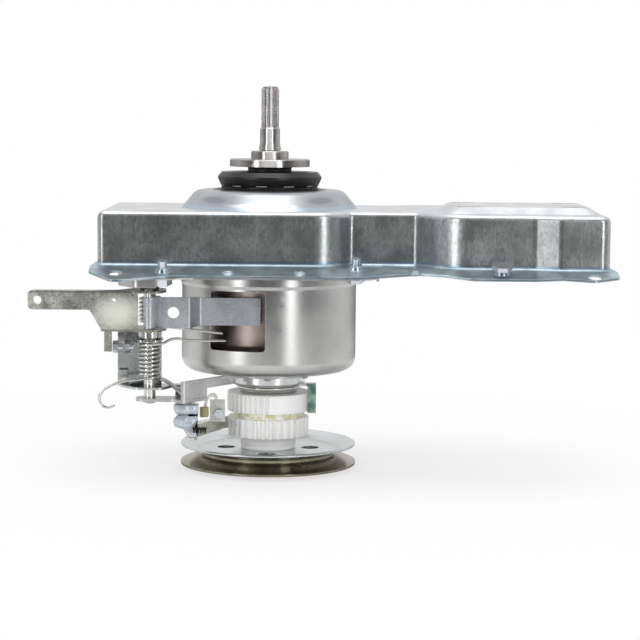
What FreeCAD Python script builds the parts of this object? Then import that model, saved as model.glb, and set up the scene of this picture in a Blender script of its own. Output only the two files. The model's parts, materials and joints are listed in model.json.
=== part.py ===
"""Top-load washing machine transmission: clutch, brake and reduction gearbox under its base plate.

Millimetres. +Z is up along the spin axis, +X points along the motor arm, +Y to the back.
The origin is on the spin axis, on the top face of the hub disc that the tub bolts to.
"""
import FreeCAD, Part
import math
import os

V = FreeCAD.Vector
UP = V(0, 0, 1)

# Fits and clearances
RUN_FIT = 0.05          # radial play of a shaft in its bush
PIN_FIT = 0.06          # radial play of a lever or gear on its pin
FREE_GAP = 0.4          # least gap between parts that turn past each other
BACKLASH = 0.22         # gear tooth thinning, along the pitch circle
FAR = 30.0              # past the part's edge, for tools that cut or trim

# Spin axis: hub and shafts
HUB_R = 26.9
HUB_T = 5.0
BOSS_R = 12.6
BOSS_H = 5.4
TUB_SHAFT_R = 12.5
TUB_BORE_R = 9.0
TUB_SHAFT_LENGTH = 84.5     # hub seat to shaft foot
BUSH_LENGTH = 14.0
PULSATOR_R = 6.5
SPLINE_R = 6.0
SPLINE_ROOT_R = 5.1
SPLINE_TEETH = 11
SPLINE_LENGTH = 27.5
SHAFT_TOP = 48.5
LAND_R = 6.7
LAND_FOOT_R = 7.6
TIP_ROUND = 2.6
TAP_R = 2.5
TAP_DEPTH = 16.0

# Seal under the hub
NECK_R = 15.5
NECK_H = 3.6
SEAL_TOP_R = 32.5
SEAL_MAX_R = 34.9
SEAL_FOOT_R = 32.4
SEAL_H = 10.0
SEAL_SHOULDER = 4.4
SEAL_SKIRT_R = 38.4
SEAL_SKIRT_H = 2.0
SEAL_NOTCHES = 11
SEAL_NOTCH_W = 8.0
SEAL_NOTCH_H = 0.9

# Base plate: an upside down channel with a flange all round
SHEET = 1.5
PLATE_DEPTH = 36.7          # flange underside to top face, behind the bend
DOME_RISE = 12.2
DOME_TOP_R = 49.3           # sharp corner of the profile
DOME_CORNER_R = 8.5
DOME_FOOT_R = 59.5
DOME_HOLE_R = 26.5
WALL_LEFT = -110.0
BODY_FRONT = -62.0
BODY_RIGHT = 55.0
ARM_START = 97.0
BULGE_RUN = 20.0            # how far the bulge's sharp corner lies past the arm's start
BULGE_R = 30.0
BACK_RUN = 12.0
ARM_FRONT = -76.0
STEP_START = 172.0
STEP_END = 188.0
END_FRONT = -82.0
WALL_RIGHT = 220.0
BODY_BACK = 62.0
ARM_BACK = 60.0
TOP_ROUND = 4.0
FOOT_ROUND = 2.5
CORNER_R = 6.0
FRONT_CORNER_R = 4.2
SLANT_START = 42.0          # the body's right end runs back at a slant
SLANT_END = 54.0
SLANT_R = 25.0
STEP_OUTER_R = 9.0
STEP_INNER_R = 4.5
STEP_FLAT = 0.5             # straight wall left between the two rounds of a step
FLANGE_W = 21.0             # in front of the body
FLANGE_ARM_W = 19.0         # in front of the arm
FLANGE_BACK_W = 16.0
FLANGE_ENDS = 4.0           # flange width past the end walls
EAR_FRONT = -90.7
EAR_CHAMFER = 15.0
EAR_WIDTH = 22.0
EAR_RUN = 30.0              # along X from the ear back to the plain flange
EAR_HOLE_R = 4.6
# the front flange bends down along a line that keeps clear of the wall
BEND_SLOPE = 15.6           # degrees
BEND_GAP = 4.0              # from the wall to the bend
BEND_BODY_END = 62.0        # the bend leaves the body's line here
BEND_ARM_START = 112.0      # and runs along the arm from here
LEFT_HOLE_X = -96.3
LEFT_HOLE_Y = -79.0
RIGHT_HOLE_X = 208.5
RIGHT_HOLE_Y = -95.0
PLATEAU_RISE = 4.4
PLATEAU_LEFT = 114.0
PLATEAU_RIGHT = 216.0
PLATEAU_FRONT = -65.0
PLATEAU_BACK = 16.0
PLATEAU_SLOPE = 7.0
MOTOR_X = 165.0
MOTOR_Y = (PLATEAU_FRONT + PLATEAU_BACK) / 2
MOTOR_SLOT_X = 34.0         # half spacing of the motor slots along X
MOTOR_SLOT_Y = 27.0         # half spacing of the motor slots along Y
MOTOR_SLOT_W = 8.5
MOTOR_SLOT_L = 16.0
COLLAR_H = 2.6              # drawn collars that take the case screws
COLLAR_R = 5.2
DIMPLE_R = 4.1
DIMPLE_H = 1.8
DIMPLES = ((-24.5, -76.8), (21.3, -76.8), (95.5, -82.0))

# Case screws: two in front, two behind, one on the arm
SCREW_R = 2.9
SCREW_HEAD_R = 6.0
SCREW_HEAD_H = 4.6
SCREW_WASHER_R = 6.6
SCREW_WASHER_T = 1.1
SCREW_STUB = 4.4
SCREW_LEFT_X = -66.5
SCREW_RIGHT_X = 57.5
SCREW_ARM_X = 150.3
SCREW_LEFT_Y = -75.0
SCREW_RIGHT_Y = -67.5
SCREW_ARM_Y = -85.5
SCREW_FROM_WALL = 8.5       # behind the body
STUD_HEAD_R = 5.0
STUD_HEAD_H = 1.2           # flat head of the arm's stud
STUD_NUT_H = 3.0

# Brake case
CASE_SHEET = 1.6
CASE_R = 59.0
CASE_DEPTH = 66.8
CASE_CORNER_R = 9.0
CASE_BEAD = 0.8             # wider neck under the flange
CASE_BEAD_H = 5.6
CASE_FLANGE_X = 73.0
CASE_FLANGE_Y = 80.0
CASE_FLANGE_BACK = 79.2
CASE_CHAMFER = 11.0
CASE_EDGE_R = 7.0
CASE_EAR_X = 96.0
CASE_EAR_BACK = -30.0
CASE_EAR_STEP = 5.0         # the ear stands this far in front of the flange
CASE_EAR_RIGHT = -58.0
CASE_LIP_H = 5.8            # rolled rim below the plate's flange
CASE_EAR_LIP = 5.3          # further down at the ear
CASE_EAR_LIP_X = -70.0      # right end of the ear's lip
CASE_CURL = 2.0             # lip that hangs from the right edge
CASE_CURL_IN = 21.0         # its ends, from the flange's corners
CASE_BORE_R = 14.5
WINDOW_LEFT = -37.4
WINDOW_RIGHT = -1.0
WINDOW_TOP = 10.0           # below the flange underside
WINDOW_H = 39.0
WINDOW_CORNER_R = 2.2
SIDE_WINDOW_H = 40.0
SIDE_WINDOW_Y = 8.0

# Bearings
BEARING_BORE_R = TUB_SHAFT_R
BEARING_R = 23.5
UPPER_BEARING_W = 12.0
LOWER_BEARING_W = 8.0
RING_T = 2.8
BALLS = 10
CUP_SHEET = 1.6
CUP_FLANGE_R = 38.0
COVER_R = 25.3
COVER_H = 10.8
COVER_FLANGE_R = 31.5
COVER_BOSS_R = 2.6
COVER_BOSSES = 6
COVER_BORE_R = 15.0
# bent tab on the right of the lower bearing cover
COVER_TAB_ROOT = 20.0
COVER_TAB_REACH = 32.5
COVER_TAB_W = 5.8
COVER_TAB_FRONT = -12.0
COVER_TAB_BACK = -4.0
COVER_TAB_H = 19.7

# Brake drum, lining and band
DRUM_R = 42.5
DRUM_WALL = 2.0
DRUM_H = 46.0
DRUM_CORNER_R = 5.0
DRUM_COVER_T = 3.0
LINING_T = 1.8
BAND_T = 1.0
BAND_W = 18.2
BAND_DROP = 4.6             # top of the band below the top of the window
BAND_START = -88.0          # degrees round the spin axis
BAND_SWEEP = 312.0
LINING_GAP = 0.3

# Planetary gears
MODULE = 1.25
SUN_TEETH = 16
PLANET_TEETH = 20
RING_TEETH = SUN_TEETH + 2 * PLANET_TEETH
PLANETS = 4
ADDENDUM = 0.8
DEDENDUM = 1.1
PRESSURE_ANGLE = 20.0
PLANET_W = 17.0
RING_W = 18.0
CARRIER_T = 4.0
CARRIER_R = 32.5
PLANET_PIN_R = 4.0
PILOT_R = 3.5
PILOT_LENGTH = 7.0
GEAR_SIDE_GAP = 1.0

# Clutch under the case
SPIN_BOSS_R = 15.0
SPIN_BOSS_FOOT = -172.0
DUST_WASHER_R = 21.8
DUST_WASHER_H = 3.6
SLEEVE_TOP = -157.8
SLEEVE_RING_H = 12.6
SLEEVE_WAIST_H = 4.2
SLEEVE_WAIST_R = 23.5
SLEEVE_UPPER_R = 27.9
SLEEVE_LOWER_R = 27.5
SLEEVE_TOOTH = 2.1
UPPER_TEETH = 44            # on the full circle; they are cut between two angles
TEETH_FROM = 90.0
TEETH_TO = 274.0
LOWER_TEETH = 32
SLEEVE_BORE_R = 18.4
SLEEVE_HUB_R = 18.9
SLEEVE_HUB_H = 6.0
CLUTCH_HUB_TOP = -173.0
CLUTCH_HUB_R = 15.0
CLUTCH_WIRE_R = 0.9
CLUTCH_PITCH = 2.6
CLUTCH_TURNS = 9

# Belt pulley
PULLEY_TOP = -192.4
PULLEY_UPPER_R = 59.3
PULLEY_LOWER_R = 59.6
PULLEY_SHEET = 1.5
PULLEY_GROOVE_R = 45.0
PULLEY_DISH = 3.2
PULLEY_H = 14.4
PULLEY_HOLE_R = 6.1
PULLEY_HOLES = 4
PULLEY_HOLE_CIRCLE = 28.6
PULLEY_RIDGE_R = 49.0
INPUT_R = 6.0
THREAD_R = 5.0
NUT_FLATS = 17.0
NUT_H = 6.0
INPUT_FOOT = -209.5

# Lever group: main pin, band pin, levers
PIVOT_X = -77.0
PIVOT_Y = -48.0
PIVOT_R = 4.0
BAND_PIN_X = -76.5
BAND_PIN_Y = -60.3
BAND_PIN_R = 2.0
LEVER_SHEET = 1.5
LEVER_TIP_X = -154.8
LEVER_WEB_RIGHT = -83.4
LEVER_FRONT = -63.5
LEVER_TOP = -84.5
LEVER_ARM_H = 12.5
LEVER_DEEP_H = 26.5
LEVER_BEND_X = -114.8
LEVER_DEEP_X = -106.6
LEVER_ARM_DEPTH = 8.0
LEVER_EAR_R = 11.5
LEVER_HOLE_R = 2.6
LEVER_HOLE_X = -148.6
TAB_X = -106.0
TAB_W = 5.0
TAB_H = 14.0
PIVOT_WASHER_R = 6.2
PIVOT_WASHER_TEETH = 20
COLLAR_OUT_R = 7.5
PIVOT_COLLAR_H = 5.6

# Strap that tightens the brake band
STRAP_T = 1.5
STRAP_WIDE = 20.4
STRAP_NARROW = BAND_W
STRAP_FOLD_X = -50.5
STRAP_TAPER_X = -43.5
STRAP_END_X = -4.2
STRAP_BACK = -46.3
STRAP_HOLE_R = 3.75
STRAP_HOLE_X = -60.8

# Springs on the main pin
SPRING_WIRE_R = 0.9
SPRING_R = 6.4              # mean radius
SPRING_PITCH = 2.75
LOWER_TURNS = 8
UPPER_TURNS = 6
LOWER_SPRING_TOP = -120.6
UPPER_SPRING_TOP = -89.0

# Pawl lever, pawl and their bracket
PAWL_LEVER_TOP = -117.3
PAWL_LEVER_FOOT = -148.5
PAWL_WEB_Y = -38.5
PAWL_WEB_LEFT = -99.0
PAWL_WEB_RIGHT = -70.0
STOP_Y = -55.0
STOP_Z = -121.8
STOP_R = 2.0
STOP_HEX = 7.0
STOP_FLANGE_X = -92.0
BRACKET_SHEET = 2.0
BRACKET_FOOT = -156.0
BRACKET_CORNER_X = -54.0
BRACKET_CORNER_Y = -64.0
PAWL_PIN_X = -50.0
PAWL_PIN_Y = -47.0
PAWL_PIN_R = 2.5
PAWL_TOP = -160.0
PAWL_H = 20.0
PAWL_TIP_ANGLE = -161.0     # round the spin axis
PAWL_HUB_WALL = 2.0
PAWL_SHEET = 1.5
PAWL_SHIELD_LEFT = 11.0     # from the pin, as are the next three
PAWL_SHIELD_RIGHT = 5.0
PAWL_SHIELD_FRONT = 8.5
PAWL_TOP_BACK = 4.0
PAWL_BLADE_H = 8.0
PAWL_TEETH_GAP = 0.55
PAWL_PLATE_X = 12.0         # from the pin
PAWL_PLATE_Y = 12.0
PAWL_PLATE_W = 10.0
PAWL_PLATE_FOOT = 8.0
PAWL_PLATE_OVER = 0.8
PAWL_SCREW_X = 6.0          # from the plate's left edge
PAWL_SCREW_DROP = 8.5
PAWL_SCREW_R = 1.5
PAWL_SCREW_HEX = 6.0
PAWL_SCREW_HEAD_H = 2.6
PAWL_SCREW_L = 5.0
CLIP_IN_R = 3.2
CLIP_OUT_R = 4.6
CLIP_W = 7.0
CLIP_FROM = 60.0
CLIP_TO = 150.0
CLIP_LEFT = 2.4             # from the plate's left edge
CLIP_BACK = 5.0             # from the plate's front
CLIP_DROP = 3.6
PAWL_SPRING_X = 2.0         # from the pin
PAWL_SPRING_UP = 6.0
PAWL_SPRING_GAP = 0.4
PAWL_SPRING_R = 1.9
PAWL_SPRING_PITCH = 1.5
PAWL_SPRING_TURNS = 6
PAWL_WIRE_R = 0.4

# Levels that follow from the values above
SEAL_TOP = -HUB_T - NECK_H
DOME_TOP = SEAL_TOP - SEAL_H - SEAL_SKIRT_H
PLATE_TOP = DOME_TOP - DOME_RISE
FLANGE_UNDER = PLATE_TOP - PLATE_DEPTH
FLANGE_OVER = FLANGE_UNDER + SHEET
CASE_FLANGE_UNDER = FLANGE_UNDER - CASE_SHEET
CASE_LEVEL = FLANGE_UNDER - CASE_LIP_H
CASE_FOOT = CASE_LEVEL - CASE_DEPTH
DRUM_TOP = -TUB_SHAFT_LENGTH + DRUM_COVER_T
DRUM_FOOT = DRUM_TOP - DRUM_H
BAND_TOP = CASE_LEVEL - WINDOW_TOP - BAND_DROP
STRAP_MID_Z = BAND_TOP - BAND_W / 2
PLANET_CIRCLE = MODULE * (SUN_TEETH + PLANET_TEETH) / 2
CARRIER_TOP = -TUB_SHAFT_LENGTH - 4.0
PLANET_TOP = CARRIER_TOP - CARRIER_T - GEAR_SIDE_GAP
PLANET_FOOT = PLANET_TOP - PLANET_W
COVER_FOOT = CASE_FOOT - COVER_H
SLEEVE_FOOT = SLEEVE_TOP - 2 * SLEEVE_RING_H - SLEEVE_WAIST_H
LEVER_FOOT = LEVER_TOP - LEVER_DEEP_H
LEVER_BACK = PIVOT_Y + LEVER_EAR_R
COLLAR_TOP = LEVER_FOOT - 0.3
PIVOT = V(PIVOT_X, PIVOT_Y, 0)
NECK_FRONT = BODY_FRONT + STEP_OUTER_R + STEP_INNER_R + STEP_FLAT
NECK_BACK = BODY_BACK - STEP_OUTER_R - STEP_INNER_R - STEP_FLAT
FAR_FRONT = EAR_FRONT - FAR
FAR_BACK = BODY_BACK + FAR
FAR_LEFT = WALL_LEFT - FAR
FAR_RIGHT = WALL_RIGHT + FAR
UPPER_BEARING_TOP = DOME_TOP - SHEET - CUP_SHEET
LOWER_BEARING_TOP = CASE_FOOT
PULLEY_WEB = PULLEY_TOP - PULLEY_DISH - 1.0

os.makedirs("parts", exist_ok=True)
NODES = {}


def keep(name, *shapes):
    """Store one node: a single solid, or a group of separate solids."""
    solids = []
    for shape in shapes:
        solids += shape.Solids
    NODES[name] = solids[0] if len(solids) == 1 else Part.makeCompound(solids)


def rod(radius, z_low, z_high, x=0.0, y=0.0):
    return Part.makeCylinder(radius, z_high - z_low, V(x, y, z_low))


def ring(outer, inner, z_low, z_high, x=0.0, y=0.0):
    return rod(outer, z_low, z_high, x, y).cut(rod(inner, z_low - 1, z_high + 1, x, y))


def box(x0, x1, y0, y1, z0, z1):
    return Part.makeBox(x1 - x0, y1 - y0, z1 - z0, V(x0, y0, z0))


def spin(points):
    """Revolve a closed (radius, z) outline round the spin axis."""
    wire = Part.makePolygon([V(r, 0, z) for r, z in points] + [V(points[0][0], 0, points[0][1])])
    return Part.Face(wire).revolve(V(0, 0, 0), UP, 360)


def turned(shape, degrees, centre=V(0, 0, 0), axis=UP):
    copy = shape.copy()
    copy.rotate(centre, axis, degrees)
    return copy


def shifted(shape, x=0.0, y=0.0, z=0.0):
    copy = shape.copy()
    copy.translate(V(x, y, z))
    return copy


def around(shape, count, sweep=360.0):
    return [turned(shape, index * sweep / count) for index in range(count)]


def union(shapes):
    solid = shapes[0].multiFuse(shapes[1:]) if len(shapes) > 1 else shapes[0]
    return solid.removeSplitter()


def smooth_loop(corners, z=0.0):
    """Closed wire through (x, y, radius) corners, each corner cut by a tangent arc."""
    edges = []
    joints = []
    count = len(corners)
    for index in range(count):
        x, y, radius = corners[index]
        here = V(x, y, z)
        back = V(corners[index - 1][0], corners[index - 1][1], z).sub(here).normalize()
        ahead = V(corners[(index + 1) % count][0], corners[(index + 1) % count][1], z).sub(here).normalize()
        half = math.acos(max(-1.0, min(1.0, back.dot(ahead)))) / 2
        reach = radius / math.tan(half)
        middle = back.add(ahead).normalize()
        centre = here.add(middle * (radius / math.sin(half)))
        joints.append((here.add(back * reach), centre.sub(middle * radius), here.add(ahead * reach)))
    for index in range(count):
        start, top, end = joints[index]
        edges.append(Part.Arc(start, top, end).toShape())
        following = joints[(index + 1) % count][0]
        if end.distanceToPoint(following) > 1e-6:
            edges.append(Part.LineSegment(end, following).toShape())
    return Part.Wire(edges)


def slab(corners, z_low, z_high):
    """Plate with rounded corners between two levels."""
    return Part.Face(smooth_loop(corners, z_low)).extrude(V(0, 0, z_high - z_low))


def upright(points, y_low, y_high):
    """Plate standing in the XZ plane from (x, z) points."""
    wire = Part.makePolygon([V(x, y_low, z) for x, z in points] + [V(points[0][0], y_low, points[0][1])])
    return Part.Face(wire).extrude(V(0, y_high - y_low, 0))


def slot_cut(x, y, width, length, z_low, z_high, along_x=False):
    """Rounded slot through a plate."""
    half = (length - width) / 2
    dx = half if along_x else 0.0
    dy = 0.0 if along_x else half
    ends = [rod(width / 2, z_low, z_high, x - dx, y - dy), rod(width / 2, z_low, z_high, x + dx, y + dy)]
    sx = dx if along_x else width / 2
    sy = width / 2 if along_x else dy
    return union(ends + [box(x - sx, x + sx, y - sy, y + sy, z_low, z_high)])


def hexagon(flats, z_low, z_high, x=0.0, y=0.0):
    reach = flats / math.sqrt(3)
    corners = [V(x + reach * math.cos(k * math.pi / 3), y + reach * math.sin(k * math.pi / 3), z_low)
               for k in range(6)]
    return Part.Face(Part.makePolygon(corners + [corners[0]])).extrude(V(0, 0, z_high - z_low))


def level_edges(solid, z, inside=None):
    """Edges that lie flat at one level."""
    found = []
    for edge in solid.Edges:
        limits = edge.BoundBox
        if abs(limits.ZMin - z) < 1e-4 and abs(limits.ZMax - z) < 1e-4:
            if inside is None or inside(edge):
                found.append(edge)
    return found


def plate_outline(inset):
    """Corners of the channel wall seen from above, moved inwards by the inset."""
    corners = [
        (WALL_LEFT, BODY_BACK, FRONT_CORNER_R),
        (WALL_LEFT, BODY_FRONT, FRONT_CORNER_R),
        (SLANT_START, BODY_FRONT, SLANT_R),
        (SLANT_END, NECK_FRONT, STEP_INNER_R),
        (ARM_START, NECK_FRONT, STEP_INNER_R),
        (ARM_START + BULGE_RUN, ARM_FRONT, BULGE_R),
        (STEP_START, ARM_FRONT, STEP_OUTER_R),
        (STEP_END, END_FRONT, STEP_OUTER_R),
        (WALL_RIGHT, END_FRONT, CORNER_R),
        (WALL_RIGHT, ARM_BACK, CORNER_R),
        (ARM_START, ARM_BACK, STEP_OUTER_R),
        (ARM_START - BACK_RUN, NECK_BACK, STEP_OUTER_R),
        (BODY_RIGHT, NECK_BACK, STEP_INNER_R),
        (BODY_RIGHT, BODY_BACK, STEP_OUTER_R),
    ]
    return inset_corners(corners, inset)


def inset_corners(corners, inset):
    """Move each side of an anticlockwise outline inwards and meet the sides again."""
    count = len(corners)
    moved = []
    for index in range(count):
        x, y, radius = corners[index]
        back = V(x - corners[index - 1][0], y - corners[index - 1][1], 0).normalize()
        following = corners[(index + 1) % count]
        ahead = V(following[0] - x, following[1] - y, 0).normalize()
        turn = back.cross(ahead).z
        side = V(-back.y - ahead.y, back.x + ahead.x, 0) * (inset / (1 + back.dot(ahead)))
        moved.append((x + side.x, y + side.y, radius - math.copysign(inset, turn)))
    return moved


def flange_outline():
    """Flange edge: it follows the body and swells into a holed ear at its front left."""
    left = WALL_LEFT - FLANGE_ENDS
    right = WALL_RIGHT + FLANGE_ENDS
    front = BODY_FRONT - FLANGE_W
    arm_front = ARM_FRONT - FLANGE_ARM_W
    end_front = END_FRONT - FLANGE_ARM_W
    back = BODY_BACK + FLANGE_BACK_W
    ear_end = left + EAR_WIDTH
    round_r = CORNER_R
    return [
        (left, EAR_FRONT + EAR_CHAMFER, round_r / 2),
        (left + EAR_CHAMFER, EAR_FRONT, round_r),
        (ear_end, EAR_FRONT, round_r),
        (ear_end + EAR_RUN, front, 2 * round_r),
        (ARM_START, front, 2 * round_r),
        (BEND_ARM_START + BULGE_RUN, arm_front, 3 * round_r),
        (STEP_START, arm_front, 3 * round_r),
        (STEP_END + BULGE_RUN, end_front, round_r),
        (right, end_front + CORNER_R, round_r / 3),
        (right, back, round_r),
        (left, back, round_r),
    ]


def bend_line():
    """Points (x, y) of the line along which the front flange bends down."""
    body = BODY_FRONT - BEND_GAP
    arm = ARM_FRONT - BEND_GAP
    end = END_FRONT - BEND_GAP
    return [(FAR_LEFT, body), (BEND_BODY_END, body), (BEND_ARM_START, arm), (STEP_START, arm),
            (STEP_END, end), (FAR_RIGHT, end)]


def bend_at(x):
    points = bend_line()
    for (x0, y0), (x1, y1) in zip(points, points[1:]):
        if x <= x1:
            return y0 + (y1 - y0) * (x - x0) / (x1 - x0)
    return points[-1][1]


def rim_height(x, y):
    return FLANGE_OVER - max(0.0, bend_at(x) - y) * math.tan(math.radians(BEND_SLOPE))


def rim_sheet(drop, thickness):
    """Bent sheet that runs under the whole flange, a drop below its upper face."""
    wires = []
    for x, bend_y in bend_line():
        upper = [V(x, y, rim_height(x, y) - drop) for y in (FAR_BACK, bend_y, FAR_FRONT)]
        lower = [point.add(V(0, 0, -thickness)) for point in reversed(upper)]
        wires.append(Part.makePolygon(upper + lower + upper[:1]))
    return Part.makeLoft(wires, True, True)


def on_rim(shape, x, y):
    """Set a shape drawn at the origin onto the flange, square to it."""
    fall = BEND_SLOPE if y < bend_at(x) else 0.0
    return shifted(turned(shape, fall, axis=V(1, 0, 0)), x, y, rim_height(x, y))


def dome(inset):
    """Dome body as a solid of revolution: the outer face, or the hollow under the sheet."""
    slope = math.atan2(DOME_RISE, DOME_FOOT_R - DOME_TOP_R)
    ease = inset * math.tan(slope / 2)
    top = DOME_TOP - inset
    foot = PLATE_TOP - inset
    low = foot - 2.0
    solid = spin([(0, low), (DOME_FOOT_R - ease, low), (DOME_FOOT_R - ease, foot),
                  (DOME_TOP_R - ease, top), (0, top)])
    rim = [edge for edge in level_edges(solid, top) if abs(edge.BoundBox.XMax - DOME_TOP_R + ease) < 1e-3]
    return solid.makeFillet(DOME_CORNER_R - inset, rim)


def rounded_box(x0, x1, y0, y1, round_r, z):
    return smooth_loop([(x1, y1, round_r), (x0, y1, round_r), (x0, y0, round_r), (x1, y0, round_r)], z)


def plateau(inset):
    """Raised pad over the motor, with sloped sides."""
    low = PLATE_TOP - inset
    high = low + PLATEAU_RISE
    root = low - SHEET
    steep = PLATEAU_SLOPE * SHEET / PLATEAU_RISE
    narrow = PLATEAU_SLOPE + inset
    wires = [rounded_box(PLATEAU_LEFT - steep + inset, PLATEAU_RIGHT + steep - inset,
                         PLATEAU_FRONT - steep + inset, PLATEAU_BACK + steep - inset, CORNER_R, root),
             rounded_box(PLATEAU_LEFT + narrow, PLATEAU_RIGHT - narrow, PLATEAU_FRONT + narrow,
                         PLATEAU_BACK - narrow, CORNER_R, high)]
    return Part.makeLoft(wires, True, True)


def channel(inset):
    """Solid block of the channel: the outer block, or the hollow inside it."""
    low = FLANGE_UNDER if inset == 0 else FLANGE_UNDER - 1.0
    top = PLATE_TOP - inset
    block = slab(plate_outline(inset), low, top)
    block = block.makeFillet(TOP_ROUND - inset, level_edges(block, top))
    return block.fuse([dome(inset), plateau(inset)])


def wall_at(x, front=True):
    """Y of the channel wall at a place along X, away from the corners."""
    if x < BODY_RIGHT - CORNER_R:
        return BODY_FRONT if front else BODY_BACK
    if x < ARM_START:
        return NECK_FRONT if front else NECK_BACK
    return ARM_FRONT if front else ARM_BACK


def screw_places():
    """Centres of the five case and bracket screws."""
    left_back = wall_at(SCREW_LEFT_X, False) + SCREW_FROM_WALL
    neck_back = wall_at(SCREW_RIGHT_X, False) + SCREW_FROM_WALL + SCREW_R
    return [(SCREW_LEFT_X, SCREW_LEFT_Y), (SCREW_LEFT_X, left_back), (SCREW_RIGHT_X, SCREW_RIGHT_Y),
            (SCREW_RIGHT_X, neck_back), (SCREW_ARM_X, SCREW_ARM_Y)]


def drawn_up(low_r, high_r, height):
    """Cone drawn up out of the sheet, rooted in it."""
    return rod(low_r, -SHEET / 2, 0.0).fuse(Part.makeCone(low_r, high_r, height))


def wall_foot(body):
    """Edges where the channel's wall meets its flange: the wall goes on above them."""
    edges = []
    for edge in level_edges(body, FLANGE_OVER):
        middle = edge.valueAt((edge.FirstParameter + edge.LastParameter) / 2)
        above = Part.Vertex(middle.add(V(0, 0, SHEET)))
        if above.distToShape(body)[0] < SHEET / 50:
            edges.append(edge)
    return edges


def make_base_plate():
    outer = channel(0)
    skirt = slab(flange_outline(), FLANGE_UNDER - FAR, FLANGE_OVER + 1.0).common(rim_sheet(0.0, SHEET))
    body = outer.fuse(skirt).removeSplitter()
    body = body.makeFillet(FOOT_ROUND, wall_foot(body)).cut(channel(SHEET))
    adds = []
    cuts = [rod(DOME_HOLE_R, PLATE_TOP, DOME_TOP + 1)]
    for x, y in screw_places():
        adds.append(on_rim(drawn_up(COLLAR_R, SCREW_R + 1.2, COLLAR_H), x, y))
        cuts.append(on_rim(rod(SCREW_R, -SHEET - 1, COLLAR_H + 1), x, y))
    for x, y in DIMPLES:
        adds.append(on_rim(drawn_up(DIMPLE_R, DIMPLE_R / 2, DIMPLE_H), x, y))
    back_y = BODY_BACK + FLANGE_BACK_W / 2
    for x, y in ((LEFT_HOLE_X, LEFT_HOLE_Y), (RIGHT_HOLE_X, RIGHT_HOLE_Y), (LEFT_HOLE_X, back_y),
                 (RIGHT_HOLE_X, back_y)):
        cuts.append(on_rim(rod(EAR_HOLE_R, -SHEET - 1, FOOT_ROUND), x, y))
    plate_low = PLATE_TOP - 2 * SHEET
    plate_high = PLATE_TOP + PLATEAU_RISE + 1
    for side_x in (-1, 1):
        for side_y in (-1, 1):
            cuts.append(slot_cut(MOTOR_X + side_x * MOTOR_SLOT_X, MOTOR_Y + side_y * MOTOR_SLOT_Y,
                                 MOTOR_SLOT_W, MOTOR_SLOT_L, plate_low, plate_high, along_x=True))
    keep("base_plate", body.fuse(adds).cut(Part.makeCompound(cuts)))


def case_flange_outline():
    """Case flange: a chamfered square round the can with an ear at its front left."""
    x = CASE_FLANGE_X
    y = CASE_FLANGE_Y
    back = CASE_FLANGE_BACK
    chamfer = CASE_CHAMFER
    left = -x - chamfer
    ear = -CASE_EAR_X
    ear_front = -y - CASE_EAR_STEP
    round_r = CASE_EDGE_R
    return [(x - chamfer, -y, round_r), (x, -y + chamfer, round_r), (x, back - chamfer, round_r),
            (x - chamfer, back, round_r), (left + CASE_EAR_STEP, back, round_r),
            (left, back - chamfer, round_r),
            (left, CASE_EAR_BACK + 2 * chamfer, round_r), (ear, CASE_EAR_BACK, round_r),
            (ear, BODY_FRONT - BEND_GAP, round_r), (ear + chamfer, ear_front, round_r),
            (CASE_EAR_RIGHT, ear_front, round_r), (CASE_EAR_RIGHT + chamfer, -y, round_r)]


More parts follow.
